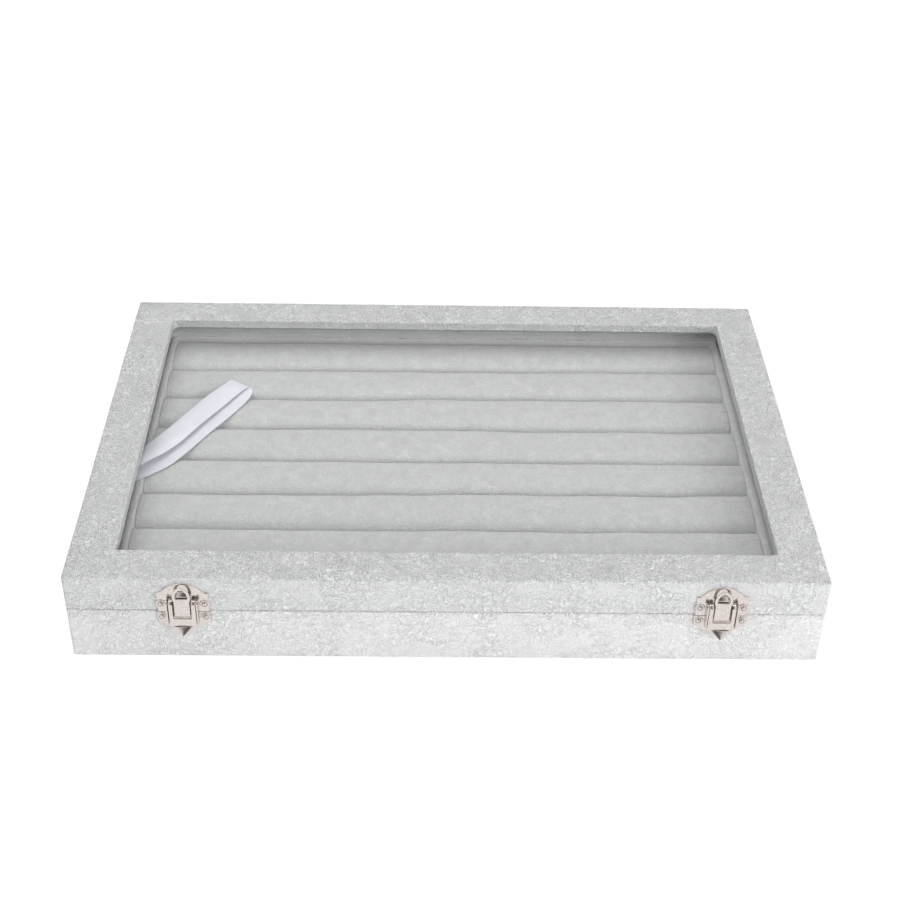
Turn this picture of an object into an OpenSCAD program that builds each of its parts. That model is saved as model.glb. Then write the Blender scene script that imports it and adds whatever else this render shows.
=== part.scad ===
// Ring display box: a shallow velvet-wrapped tray of ring rolls under a hinged,
// glazed lid with two toggle latches. Millimetres, +Z up, front towards -Y,
// origin at the centre of the underside.

/* [Box] */
// Width of the closed box
box_w = 350; // [320:1:420]
// Depth of the closed box, without latches and hinges
box_d = 240; // [220:1:300]
// Height of the closed box
box_h = 48; // [46:0.5:60]
// Height of the lid, from its top face to the seam
lid_h = 19.2; // [17.5:0.1:21]
// Gap between lid rim and base rim
seam_gap = 0.3; // [0.2:0.05:0.6]
// Radius of the four upright corners
corner_r = 1.5; // [0.8:0.1:3]

/* [Boards and velvet] */
// Thickness of the side boards
wall_board_t = 7; // [6:0.5:9]
// Thickness of the board in the lid's top
top_board_t = 3.4; // [3:0.1:4]
// Thickness of the bottom board
bottom_board_t = 3; // [2:0.5:4]
// Thickness of the velvet where it is glued to board
velvet_t = 0.5; // [0.3:0.1:0.7]
// Thickness of the lining paper under the base
underside_t = 0.5; // [0.3:0.1:1]
// Play of a piece that is dropped into the lid or the base
drop_in_play = 0.3; // [0.2:0.05:0.5]

/* [Window and glass] */
// Width of the lid's left and right rails
side_rail_w = 21.4; // [19:0.1:26]
// Width of the lid's front rail
front_rail_w = 20.2; // [18:0.1:26]
// Width of the lid's back rail
back_rail_w = 19.7; // [18:0.1:26]
// Corner radius where the velvet is turned under the window's edge
window_turn_r = 5; // [2:0.5:8]
// Thickness of the glass
glass_t = 2; // [1.5:0.1:3]
// How far the glass reaches under each rail
glass_overlap = 6; // [3:0.5:7]
// Thickness of the retaining frame below the glass
retainer_t = 1.5; // [1:0.1:3]
// How far the retaining frame's opening stays behind the window's edge
retainer_setback = 2; // [1:0.5:3]

/* [Ring rolls] */
// Number of ring rolls
roll_count = 8; // [6:1:9]
// Slot left between two rolls
roll_gap = 0.4; // [0.2:0.1:1]
// How far the rolls' crests lie below the base's rim
crest_drop = 0.85; // [0.5:0.05:3]
// Thickness of the velvet around a roll
roll_cover_t = 0.6; // [0.4:0.1:1]
// Width of the velvet strip at each end of the rolls
end_strip_w = 13.4; // [8:0.2:20]
// How far the end strips' tops lie below the base's rim
strip_drop = 0.2; // [0.1:0.05:2]
// Thickness of the card that the rolls are glued to
tray_card_t = 1.5; // [1:0.1:3]

/* [Hinges] */
// Distance of each hinge's middle from the middle of the box
hinge_offset = 105; // [60:1:130]
// Width of a hinge
hinge_w = 26; // [22:1:36]
// Height of each hinge leaf above or below the seam
leaf_h = 13; // [12:0.5:14]
// Thickness of the hinge leaves
leaf_t = 0.8; // [0.6:0.1:1]
// Outer radius of the knuckles
knuckle_r = 1.9; // [1.7:0.05:2.2]
// Radius of the hinge pin
hinge_pin_r = 0.8; // [0.7:0.05:1]
// Gap between two knuckles
knuckle_gap = 0.3; // [0.2:0.05:0.5]
// Distance between the knuckles and the box's back face
knuckle_standoff = 0.25; // [0.2:0.05:0.4]

/* [Latches] */
// Distance of the left latch's middle from the box's left side
latch_left_inset = 54; // [30:1:90]
// Distance of the right latch's middle from the box's right side
latch_right_inset = 49; // [30:1:90]
// Thickness of the latch plates
plate_t = 0.8; // [0.6:0.1:1]
// Half the width of the latch plates
plate_half_w = 12.2; // [11.8:0.1:13]
// Distance of the nails from the latch's middle
nail_dx = 10; // [9.8:0.1:10.6]
// Height of the upper nails above the seam
upper_nail_z = 4.9; // [4:0.1:6]
// Depth of the lower nails below the seam
lower_nail_z = 2.9; // [2.6:0.1:3.4]
// Height of the lid plate's crown above the seam
crown_z = 16.7; // [16.5:0.1:17]
// Distance of the lever's pivot from the front face
lever_pivot_d = 3.1; // [3.1:0.05:3.4]
// Height of the lever's pivot above the seam
lever_pivot_z = 6.9; // [6.6:0.1:7.2]
// Distance of the link's pivot from the front face
link_pivot_d = 2.55; // [2.5:0.05:2.6]
// Depth of the link's pivot below the seam
link_pivot_z = 0.3; // [0.1:0.1:0.6]
// Width of the lever between the base plate's ears
lever_w = 12.7; // [12.5:0.1:13]
// Width of the link
link_w = 7.3; // [6.8:0.1:7.6]
// Running clearance of a pin in its bore
pin_clear = 0.05; // [0.02:0.01:0.08]

/* [Nails] */
// Radius of a nail's shank
nail_r = 0.6; // [0.5:0.05:0.7]
// Length of a nail's shank
nail_l = 6; // [4:0.5:6]
// Radius of a nail's domed head
nail_head_r = 1.6; // [1.4:0.05:1.7]
// Height of a nail's domed head
nail_head_h = 0.8; // [0.5:0.05:1]

/* [Ribbon] */
// Width of the lid's stay ribbon
ribbon_w = 15; // [10:1:18]
// Thickness of the ribbon
ribbon_t = 0.4; // [0.3:0.1:0.5]
// Direction in which the folded ribbon lies, from +X
ribbon_angle = 57.5; // [50:0.5:65]
// Distance of the fold from the lid's left inner face
ribbon_reach = 56; // [40:1:70]
// Position of the fold in front of (-) or behind the box's middle
ribbon_tip_y = 60; // [40:1:70]
// Sideways shift between the two layers
ribbon_shift = 4.4; // [2:0.1:6]
// Height between the two layers
ribbon_rise = 2; // [1:0.1:3]
// Height of the tab that is glued to the lid's lining
ribbon_tab_h = 8; // [4:0.5:8]

/* [Hidden] */

$fn = 48;
cut = 1; // how far a cutter runs past the face that it opens

velvet_grey = [0.83, 0.84, 0.84];
lining_grey = [0.77, 0.79, 0.79];
board_brown = [0.62, 0.5, 0.38];
card_grey = [0.55, 0.54, 0.52];
foam_cream = [0.93, 0.91, 0.85];
nickel = [0.8, 0.79, 0.77];
satin_white = [0.92, 0.92, 0.95];
glass_clear = [0.86, 0.93, 0.93, 0.3];

// The seam and what lies on each side of it
seam_z = box_h - lid_h;
base_rim_z = seam_z - seam_gap / 2;
lid_rim_z = seam_z + seam_gap / 2;
inner_w = box_w - 2 * (wall_board_t + 2 * velvet_t);
inner_d = box_d - 2 * (wall_board_t + 2 * velvet_t);

// Heights in the base, from below
bottom_board_z = underside_t;
tray_card_z = bottom_board_z + bottom_board_t;
roll_foot_z = tray_card_z + tray_card_t;
crest_z = base_rim_z - crest_drop;
strip_top_z = base_rim_z - strip_drop;

// Heights in the lid, from above
top_board_z = box_h - velvet_t - top_board_t;
glass_top_z = top_board_z - velvet_t;
glass_z = glass_top_z - glass_t;

// The window and the glass behind it
window_w = box_w - 2 * side_rail_w;
window_d = box_d - front_rail_w - back_rail_w;
window_y = (front_rail_w - back_rail_w) / 2;
glass_w = window_w + 2 * glass_overlap;
glass_d = window_d + 2 * glass_overlap;

// The ring rolls
roll_pitch = inner_d / roll_count;
roll_w = roll_pitch - roll_gap;
roll_l = inner_w - 2 * end_strip_w - 2 * drop_in_play;

// The hinges at the back
hinge_y = box_d / 2 + knuckle_standoff + knuckle_r;
knuckle_w = (hinge_w - 2 * knuckle_gap) / 3;
leaf_start = 0.8 + knuckle_r; // where a leaf begins, clear of the other leaf's knuckles
web_start = knuckle_r / 6;    // where a leaf runs into its own knuckles
leaf_nail_dx = hinge_w / 2 - 5;
leaf_nail_z = (leaf_start + leaf_h) / 2;
pin_head_r = 1.2;
pin_head_t = 0.8;

// The latches: places across the box, and what their pieces share.
// In a latch's own frame X runs across, Z is the height above the seam and
// the depth d is counted outwards from the box's front face.
latch_left_x = -box_w / 2 + latch_left_inset;
latch_right_x = box_w / 2 - latch_right_inset;
plate_gap = 0.3;                                // between the plates and the seam
lever_sheet_t = 0.7;
lever_back_d = 3.7;
lever_front_d = lever_back_d + lever_sheet_t;
lever_top_z = lever_pivot_z + 1.5;
lever_foot_z = -6.2;
lever_round_r = 1.9;
flange_back_d = plate_t + 0.4;
ear_gap = 0.2;                                  // between the lever and the ears
ear_t = 0.7;
rivet_r = 0.55;
rivet_head_r = 1;
rivet_head_t = 0.4;
link_t = 0.8;
link_barrel_r = 1.15;
link_front_d = link_pivot_d + link_barrel_r;
link_pin_r = 0.5;
link_top_z = 16.5;
window_half_w = 4.3;
catch_gap = 0.3;                                // between the catch and the link

// Lid stay ribbon
ribbon_tip_x = -inner_w / 2 + ribbon_reach;
ribbon_low_z = strip_top_z;
ribbon_high_z = ribbon_low_z + ribbon_t + ribbon_rise;

// ---- Shapes that repeat ----

module rounded_rect(w, d, r) {
    square([w - 2 * r, d], center = true);
    square([w, d - 2 * r], center = true);
    for (x = [-1, 1], y = [-1, 1])
        translate([x * (w / 2 - r), y * (d / 2 - r)]) circle(r);
}

module rounded_slab(w, d, r, z0, z1) {
    translate([0, 0, z0]) linear_extrude(z1 - z0) rounded_rect(w, d, r);
}

module slab(w, d, z0, z1) {
    translate([-w / 2, -d / 2, z0]) cube([w, d, z1 - z0]);
}

// The outside of the boards, under the velvet
module board_block(z0, z1) {
    rounded_slab(box_w - 2 * velvet_t, box_d - 2 * velvet_t, corner_r - velvet_t, z0, z1);
}

// The four side boards as one ring, from which each board is cut
module board_ring(z0, z1) {
    difference() {
        board_block(z0, z1);
        slab(inner_w + 2 * velvet_t, inner_d + 2 * velvet_t, z0 - cut, z1 + cut);
    }
}

// side is -1 for the front board and 1 for the back board
module long_board(side, z0, z1) {
    intersection() {
        board_ring(z0, z1);
        translate([-box_w / 2, side > 0 ? inner_d / 2 + velvet_t : -box_d / 2, z0])
            cube([box_w, box_d / 2 - inner_d / 2 - velvet_t, z1 - z0]);
    }
}

// side is -1 for the left board and 1 for the right board
module short_board(side, z0, z1) {
    translate([side > 0 ? inner_w / 2 + velvet_t : -inner_w / 2 - velvet_t - wall_board_t,
               -inner_d / 2 - velvet_t, z0])
        cube([wall_board_t, inner_d + 2 * velvet_t, z1 - z0]);
}

// Velvet on the inner faces of the side boards
module lining_ring(z0, z1) {
    difference() {
        slab(inner_w + 2 * velvet_t, inner_d + 2 * velvet_t, z0, z1);
        slab(inner_w, inner_d, z0 - cut, z1 + cut);
    }
}

// A round rod along X, centred on x = 0
module rod_x(r, l) {
    rotate([0, 90, 0]) cylinder(r = r, h = l, center = true);
}

// A nail whose shank points along +Y, with the underside of its head at y = 0
module nail() {
    ball_r = (nail_head_r * nail_head_r + nail_head_h * nail_head_h) / (2 * nail_head_h);
    rotate([-90, 0, 0]) cylinder(r = nail_r, h = nail_l);
    intersection() {
        translate([0, ball_r - nail_head_h, 0]) sphere(ball_r);
        rotate([90, 0, 0]) cylinder(r = nail_head_r + cut, h = nail_head_h + cut);
    }
}

module nail_bore() {
    translate([0, -cut, 0]) rotate([-90, 0, 0])
        cylinder(r = nail_r + pin_clear, h = nail_l + drop_in_play + cut);
}

// Puts its children at the box's front face in both latches' frames
module at_latches() {
    for (x = [latch_left_x, latch_right_x]) translate([x, -box_d / 2, seam_z]) children();
}

module at_latch(x) {
    translate([x, -box_d / 2, seam_z]) children();
}

// Both nails of a latch plate, at height z from the seam
module at_latch_nails(z) {
    for (x = [-nail_dx, nail_dx]) translate([x, -plate_t, z]) children();
}

// Both nails of a hinge leaf: up is 1 on the lid and -1 on the base
module at_leaf_nails(up) {
    for (x = [-leaf_nail_dx, leaf_nail_dx])
        translate([x, box_d / 2 + leaf_t, seam_z + up * leaf_nail_z]) rotate([0, 0, 180]) children();
}

module at_hinges() {
    for (x = [-hinge_offset, hinge_offset]) translate([x, 0, 0]) children();
}

// Cuts the children's front and back faces for the nails on one side of the seam
module nailed(up) {
    difference() {
        children();
        at_latches() at_latch_nails(up > 0 ? upper_nail_z : -lower_nail_z) nail_bore();
        at_hinges() at_leaf_nails(up) nail_bore();
    }
}

// ---- Base ----

module base_underside_paper() {
    color(card_grey)
        rounded_slab(box_w - 2 * velvet_t, box_d - 2 * velvet_t, corner_r - velvet_t,
                     0, underside_t);
}

module base_bottom_board() {
    color(board_brown) board_block(bottom_board_z, tray_card_z);
}

module base_front_wall() {
    color(board_brown) nailed(-1) long_board(-1, tray_card_z, base_rim_z - velvet_t);
}

module base_back_wall() {
    color(board_brown) nailed(-1) long_board(1, tray_card_z, base_rim_z - velvet_t);
}

module base_side_wall(side) {
    color(board_brown) short_board(side, tray_card_z, base_rim_z - velvet_t);
}

// One sheet over the outside and the rim
module base_velvet_wrap() {
    color(velvet_grey) nailed(-1) difference() {
        rounded_slab(box_w, box_d, corner_r, underside_t, base_rim_z);
        board_block(underside_t - cut, base_rim_z - velvet_t);
        slab(inner_w, inner_d, base_rim_z - velvet_t - cut, base_rim_z + cut);
    }
}

module base_lining() {
    color(lining_grey) lining_ring(tray_card_z, base_rim_z - velvet_t);
}

module roll_tray_card() {
    color(card_grey)
        slab(inner_w - 2 * drop_in_play, inner_d - 2 * drop_in_play, tray_card_z, roll_foot_z);
}

// side is -1 at the left end of the rolls and 1 at the right end
module end_strip(side) {
    color(lining_grey)
        translate([side > 0 ? inner_w / 2 - end_strip_w : -inner_w / 2, -inner_d / 2 + drop_in_play,
                   roll_foot_z])
            cube([end_strip_w, inner_d - 2 * drop_in_play, strip_top_z - roll_foot_z]);
}

// A roll's section, with its crest at the top: skin is taken off all round
module roll_section(skin) {
    r = roll_w / 2 - skin;
    axis_z = crest_z - roll_w / 2;
    intersection() {
        translate([0, axis_z]) circle(r);
        translate([-r, roll_foot_z]) square([2 * r, crest_z - roll_foot_z]);
    }
    translate([-r, roll_foot_z]) square([2 * r, axis_z - roll_foot_z]);
}

// A roll's section made l long, in the place of roll number i
module roll_body(i, skin, l) {
    translate([-l / 2, -inner_d / 2 + roll_pitch * (i - 0.5), 0])
        rotate([90, 0, 90]) linear_extrude(l) roll_section(skin);
}

module roll_core(i) {
    color(foam_cream) roll_body(i, roll_cover_t, roll_l);
}

module roll_cover(i) {
    color(lining_grey) difference() {
        roll_body(i, 0, roll_l);
        roll_body(i, roll_cover_t, roll_l + 2 * cut);
    }
}

// ---- Lid ----

module lid_front_wall() {
    color(board_brown) nailed(1) long_board(-1, lid_rim_z + velvet_t, top_board_z);
}

module lid_back_wall() {
    color(board_brown) nailed(1) long_board(1, lid_rim_z + velvet_t, top_board_z);
}

module lid_side_wall(side) {
    color(board_brown) short_board(side, lid_rim_z + velvet_t, top_board_z);
}

module lid_top_frame() {
    color(board_brown) difference() {
        board_block(top_board_z, top_board_z + top_board_t);
        translate([0, window_y, 0])
            slab(window_w + 2 * velvet_t, window_d + 2 * velvet_t, top_board_z - cut, box_h + cut);
    }
}

// One sheet over the sides and the top, turned in at the window and under the rim
module lid_velvet_wrap() {
    color(velvet_grey) nailed(1) difference() {
        rounded_slab(box_w, box_d, corner_r, lid_rim_z, box_h);
        board_ring(lid_rim_z + velvet_t, top_board_z + velvet_t);
        lining_ring(lid_rim_z + velvet_t, glass_top_z);
        lid_top_frame();
        slab(inner_w, inner_d, lid_rim_z - cut, glass_top_z);
        translate([0, window_y, 0]) {
            slab(window_w, window_d, top_board_z, box_h + cut);
            rounded_slab(window_w, window_d, window_turn_r, glass_top_z - cut, top_board_z + cut);
        }
    }
}

module lid_lining() {
    color(lining_grey) lining_ring(lid_rim_z + velvet_t, glass_top_z);
}

module glass_pane() {
    color(glass_clear) translate([0, window_y, 0]) slab(glass_w, glass_d, glass_z, glass_top_z);
}

// A rabbeted frame that holds the glass up against the rails
module glass_retaining_frame() {
    color(lining_grey) difference() {
        slab(inner_w - 2 * drop_in_play, inner_d - 2 * drop_in_play, glass_z - retainer_t, glass_top_z);
        translate([0, window_y, 0]) {
            slab(glass_w + 2 * drop_in_play, glass_d + 2 * drop_in_play, glass_z, glass_top_z + cut);
            slab(window_w + 2 * retainer_setback, window_d + 2 * retainer_setback,
                 glass_z - retainer_t - cut, glass_z + cut);
        }
    }
}

// ---- Hinges ----

// The knuckles at x, each w wide, joined to a leaf: up is 1 on the lid and -1 on the base
module hinge_leaf(up, xs) {
    color(nickel) difference() {
        union() {
            translate([-hinge_w / 2, box_d / 2, up > 0 ? seam_z + leaf_start : seam_z - leaf_h])
                cube([hinge_w, leaf_t, leaf_h - leaf_start]);
            for (x = xs) translate([x, 0, 0]) {
                translate([0, hinge_y, seam_z]) rod_x(knuckle_r, knuckle_w);
                translate([-knuckle_w / 2, box_d / 2,
                           up > 0 ? seam_z + web_start : seam_z - leaf_start])
                    cube([knuckle_w, leaf_t, leaf_start - web_start]);
            }
        }
        translate([0, hinge_y, seam_z]) rod_x(hinge_pin_r + pin_clear, hinge_w + 2 * cut);
        at_leaf_nails(up) nail_bore();
    }
}

module hinge_base_leaf(side) {
    translate([side * hinge_offset, 0, 0])
        hinge_leaf(-1, [-knuckle_w - knuckle_gap, knuckle_w + knuckle_gap]);
}

module hinge_lid_leaf(side) {
    translate([side * hinge_offset, 0, 0]) hinge_leaf(1, [0]);
}

module hinge_pin(side) {
    color(nickel) translate([side * hinge_offset, hinge_y, seam_z]) {
        rod_x(hinge_pin_r, hinge_w + 2 * pin_clear);
        for (x = [-1, 1])
            translate([x * (hinge_w / 2 + pin_clear + pin_head_t / 2), 0, 0])
                rod_x(pin_head_r, pin_head_t);
    }
}

module hinge_nails(up) {
    color(nickel) at_hinges() at_leaf_nails(up) nail();
}

// ---- Latches ----

// An outline in X and Z made into sheet metal whose back lies at depth d
module front_sheet(d, t) {
    translate([0, -d, 0]) rotate([90, 0, 0]) linear_extrude(t) children();
}

// An outline in depth and Z made into a piece from x0 to x1
module side_sheet(x0, x1) {
    translate([x0, 0, 0]) rotate([90, 0, 90]) linear_extrude(x1 - x0) mirror([1, 0]) children();
}

// The lid plate: a round crown between two pointed ears
module catch_outline() {
    shoulder_x = 9;
    shoulder_z = crown_z - 4.5;
    crown_r = (pow(shoulder_x, 2) + pow(crown_z - shoulder_z, 2)) / (2 * (crown_z - shoulder_z));
    polygon([
        [-plate_half_w + 0.3, seam_gap / 2 + plate_gap], [plate_half_w - 0.3, seam_gap / 2 + plate_gap],
        [plate_half_w - 0.3, shoulder_z - 3], [plate_half_w, shoulder_z - 1],
        [shoulder_x + 1.2, shoulder_z - 1], [shoulder_x, shoulder_z],
        [-shoulder_x, shoulder_z], [-shoulder_x - 1.2, shoulder_z - 1],
        [-plate_half_w, shoulder_z - 1], [-plate_half_w + 0.3, shoulder_z - 3]]);
    intersection() {
        translate([0, crown_z - crown_r]) circle(crown_r);
        translate([-shoulder_x, shoulder_z - cut]) square([2 * shoulder_x, 2 * crown_r]);
    }
}

// The catch stops just short of the link that it sits behind
module latch_catch_plate(x) {
    catch_d = link_front_d - link_t - catch_gap;
    catch_half_w = 2;
    catch_top_z = link_top_z - 4.3;
    color(nickel) at_latch(x) difference() {
        union() {
            front_sheet(0, plate_t) catch_outline();
            side_sheet(-catch_half_w, catch_half_w) polygon([
                [plate_t / 2, catch_top_z - 3.4], [plate_t, catch_top_z - 3.2],
                [catch_d, catch_top_z - 0.4], [catch_d, catch_top_z], [plate_t / 2, catch_top_z]]);
        }
        at_latch_nails(upper_nail_z) nail_bore();
    }
}

module base_plate_outline() {
    top_z = -seam_gap / 2 - plate_gap;
    polygon([
        [-plate_half_w, top_z], [plate_half_w, top_z], [plate_half_w, -5.4], [6.6, -9.7],
        [-6.6, -9.7], [-plate_half_w, -5.4]]);
}

// An upturned side of the base plate that carries the lever's pivot
module ear_outline() {
    ear_front_d = lever_front_d + 0.2;
    translate([lever_pivot_d, lever_pivot_z]) circle(lever_round_r);
    polygon([
        [plate_t / 2, lever_foot_z + 0.6], [ear_front_d - 1, lever_foot_z + 0.6],
        [ear_front_d, lever_foot_z + 1.6], [ear_front_d, lever_pivot_z],
        [flange_back_d, lever_pivot_z], [flange_back_d, 0],
        [plate_t, -seam_gap / 2 - plate_gap], [plate_t / 2, -seam_gap / 2 - plate_gap]]);
}

module latch_base_plate(x) {
    ear_x = lever_w / 2 + ear_gap;
    color(nickel) at_latch(x) difference() {
        union() {
            front_sheet(0, plate_t) base_plate_outline();
            side_sheet(ear_x, ear_x + ear_t) ear_outline();
            side_sheet(-ear_x - ear_t, -ear_x) ear_outline();
        }
        at_latch_nails(-lower_nail_z) nail_bore();
        translate([0, -lever_pivot_d, lever_pivot_z])
            rod_x(rivet_r + pin_clear, lever_w + 4 * ear_t);
    }
}

// Two short rivets, one through each ear and the lever's flange inside it
module latch_pivot_rivets(x) {
    inner_x = lever_w / 2 - lever_sheet_t;
    outer_x = lever_w / 2 + ear_gap + ear_t + pin_clear;
    color(nickel) at_latch(x) for (side = [-1, 1])
        translate([0, -lever_pivot_d, lever_pivot_z]) {
            translate([side * (inner_x + outer_x) / 2, 0, 0]) rod_x(rivet_r, outer_x - inner_x);
            translate([side * (outer_x + rivet_head_t / 2), 0, 0]) rod_x(rivet_head_r, rivet_head_t);
        }
}

module lever_flange_outline() {
    intersection() {
        union() {
            translate([lever_pivot_d, lever_pivot_z]) circle(lever_round_r);
            polygon([
                [flange_back_d, lever_pivot_z], [flange_back_d, lever_foot_z + 1.6],
                [flange_back_d + 1, lever_foot_z], [lever_front_d, lever_foot_z],
                [lever_front_d, lever_top_z], [lever_pivot_d, lever_top_z]]);
        }
        translate([0, lever_foot_z]) square([lever_front_d, 20]);
    }
}

// The lever's turned-up tip: straight sides that meet in a round end
module beak_outline() {
    half_w = 5.4;
    end_r = 1.6;
    end_y = -2.4;
    reach = sqrt(half_w * half_w + end_y * end_y);
    side_normal = 90 - atan(-end_y / half_w) - acos(end_r / reach);
    touch = [end_r * cos(-side_normal), end_y + end_r * sin(-side_normal)];
    polygon([[-half_w, 0], [half_w, 0], touch, [0, end_y], [-touch[0], touch[1]]]);
    translate([0, end_y]) circle(end_r);
}

module latch_lever(x) {
    half_w = lever_w / 2;
    beak_tilt = 31;
    color(nickel) at_latch(x) difference() {
        union() {
            front_sheet(lever_back_d, lever_sheet_t) difference() {
                translate([-half_w, lever_foot_z]) square([lever_w, lever_top_z - lever_foot_z]);
                translate([-window_half_w, -link_pivot_z - link_barrel_r - 0.15])
                    square([2 * window_half_w, 20]);
            }
            side_sheet(half_w - lever_sheet_t, half_w) lever_flange_outline();
            side_sheet(-half_w, -half_w + lever_sheet_t) lever_flange_outline();
            translate([0, -lever_back_d, lever_foot_z]) rotate([-beak_tilt, 0, 0])
                front_sheet(0, lever_sheet_t) beak_outline();
        }
        translate([0, -lever_pivot_d, lever_pivot_z]) rod_x(rivet_r + pin_clear, lever_w + 2 * cut);
        translate([0, -link_pivot_d, -link_pivot_z]) rod_x(link_pin_r + pin_clear, lever_w + 2 * cut);
    }
}

module latch_link_pin(x) {
    color(nickel) at_latch(x) translate([0, -link_pivot_d, -link_pivot_z]) rod_x(link_pin_r, lever_w);
}

// The link's face: a plate that widens into a round-topped loop
module link_outline() {
    loop_half_w = 4.2;
    loop_z = lever_top_z + 0.8;
    top_r = 2.6;
    hole_r = 2.7;
    hole_z = loop_z + 0.5;
    difference() {
        union() {
            polygon([
                [-link_w / 2, -link_pivot_z], [link_w / 2, -link_pivot_z], [link_w / 2, loop_z - 0.9],
                [loop_half_w, loop_z], [top_r, link_top_z - top_r + 0.4],
                [-top_r, link_top_z - top_r + 0.4], [-loop_half_w, loop_z], [-link_w / 2, loop_z - 0.9]]);
            translate([0, link_top_z - top_r]) circle(top_r);
        }
        intersection() {
            translate([0, hole_z]) circle(hole_r);
            translate([-hole_r, hole_z]) square([2 * hole_r, hole_r]);
        }
    }
}

module latch_link(x) {
    color(nickel) at_latch(x) difference() {
        union() {
            front_sheet(link_front_d - link_t, link_t) link_outline();
            translate([0, -link_pivot_d, -link_pivot_z]) rod_x(link_barrel_r, link_w);
        }
        translate([0, -link_pivot_d, -link_pivot_z]) rod_x(link_pin_r + pin_clear, link_w + 2 * cut);
    }
}

module latch_nails(z) {
    color(nickel) at_latches() at_latch_nails(z) nail();
}

// ---- Ribbon ----

// One layer, ending at the fold and cut off at the left wall
module ribbon_layer(shift, z) {
    intersection() {
        translate([ribbon_tip_x, ribbon_tip_y, z]) rotate([0, 0, ribbon_angle])
            translate([-box_w / 2, -ribbon_w / 2 - shift, 0]) cube([box_w / 2, ribbon_w, ribbon_t]);
        translate([-inner_w / 2, -box_d, z]) cube([inner_w, 2 * box_d, ribbon_t]);
    }
}

// The lid's stay: folded once between the end strip below and the lid's lining above
module stay_ribbon() {
    tab_w = ribbon_w / sin(90 - ribbon_angle);
    tab_y = ribbon_tip_y - ribbon_reach * tan(ribbon_angle);
    color(satin_white) {
        ribbon_layer(ribbon_shift, ribbon_low_z);
        ribbon_layer(0, ribbon_high_z);
        translate([ribbon_tip_x, ribbon_tip_y, ribbon_low_z]) rotate([0, 0, ribbon_angle])
            translate([-ribbon_t, -ribbon_w / 2, 0])
                cube([ribbon_t, ribbon_w - ribbon_shift, ribbon_high_z + ribbon_t - ribbon_low_z]);
        translate([-inner_w / 2, tab_y - tab_w / 2, ribbon_high_z])
            cube([ribbon_t, tab_w, ribbon_tab_h]);
    }
}

// ---- Nodes ----

base_underside_paper();
base_bottom_board();
base_front_wall();
base_back_wall();
base_side_wall(-1);  // base_left_wall
base_side_wall(1);  // base_right_wall
base_velvet_wrap();
base_lining();
roll_tray_card();
end_strip(-1);  // end_strip_left
end_strip(1);  // end_strip_right
for (i = [1:roll_count]) roll_core(i);
for (i = [1:roll_count]) roll_cover(i);
hinge_base_leaf(-1);  // hinge_base_leaf_left
hinge_base_leaf(1);  // hinge_base_leaf_right
hinge_pin(-1);  // hinge_pin_left
hinge_pin(1);  // hinge_pin_right
hinge_nails(-1);  // hinge_base_nails
latch_base_plate(latch_left_x);  // latch_base_plate_left
latch_base_plate(latch_right_x);  // latch_base_plate_right
latch_pivot_rivets(latch_left_x);  // latch_pivot_rivets_left
latch_pivot_rivets(latch_right_x);  // latch_pivot_rivets_right
latch_nails(-lower_nail_z);  // latch_base_nails
stay_ribbon();
lid_front_wall();
lid_back_wall();
lid_side_wall(-1);  // lid_left_wall
lid_side_wall(1);  // lid_right_wall
lid_top_frame();
lid_velvet_wrap();
lid_lining();
glass_pane();
glass_retaining_frame();
hinge_lid_leaf(-1);  // hinge_lid_leaf_left
hinge_lid_leaf(1);  // hinge_lid_leaf_right
hinge_nails(1);  // hinge_lid_nails
latch_catch_plate(latch_left_x);  // latch_catch_plate_left
latch_catch_plate(latch_right_x);  // latch_catch_plate_right
latch_nails(upper_nail_z);  // latch_lid_nails
latch_lever(latch_left_x);  // latch_lever_left
latch_lever(latch_right_x);  // latch_lever_right
latch_link_pin(latch_left_x);  // latch_link_pin_left
latch_link_pin(latch_right_x);  // latch_link_pin_right
latch_link(latch_left_x);  // latch_link_left
latch_link(latch_right_x);  // latch_link_right
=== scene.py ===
"""Looks of a velvet-wrapped ring display box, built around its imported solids.

Metres, +Z up, front towards -Y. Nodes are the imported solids; pieces are what is made here.
"""

import logging
import math
from collections.abc import Callable, Iterable, Iterator, Sequence
from contextlib import contextmanager
from dataclasses import dataclass
from enum import Enum
from functools import lru_cache, reduce

import bmesh
import bpy
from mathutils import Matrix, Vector, noise


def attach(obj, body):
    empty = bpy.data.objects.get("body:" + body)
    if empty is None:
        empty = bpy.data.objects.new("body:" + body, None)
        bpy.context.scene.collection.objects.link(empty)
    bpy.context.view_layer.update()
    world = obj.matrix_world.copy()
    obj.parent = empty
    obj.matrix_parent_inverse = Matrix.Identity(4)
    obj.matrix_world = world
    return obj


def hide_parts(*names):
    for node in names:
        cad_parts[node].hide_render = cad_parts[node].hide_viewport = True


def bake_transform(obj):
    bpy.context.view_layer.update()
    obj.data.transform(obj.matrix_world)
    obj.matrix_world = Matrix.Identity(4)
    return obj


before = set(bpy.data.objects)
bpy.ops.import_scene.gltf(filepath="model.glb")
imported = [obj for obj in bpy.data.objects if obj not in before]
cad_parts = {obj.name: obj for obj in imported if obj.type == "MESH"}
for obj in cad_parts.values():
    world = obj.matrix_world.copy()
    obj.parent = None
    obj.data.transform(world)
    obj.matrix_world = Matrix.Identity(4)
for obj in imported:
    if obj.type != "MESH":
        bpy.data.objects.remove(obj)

Point = tuple[float, float, float]
Pair = tuple[float, float]
Outline = Sequence[Pair]
Colour = tuple[float, float, float]
Socket = bpy.types.NodeSocket
Shade = Socket | Sequence[float]
Piece = bpy.types.Object
Test = Callable[[Vector, Vector], bool]

LOG = logging.getLogger("ring_box")
HAIR = 1e-6  # slack when places are compared
BOTH = (-1, 1)  # the signs of two sides
WALLS = ("front", "back", "left", "right")
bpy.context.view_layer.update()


class Body(Enum):
    """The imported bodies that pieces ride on."""

    BASE = "base"
    LID = "lid"


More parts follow.
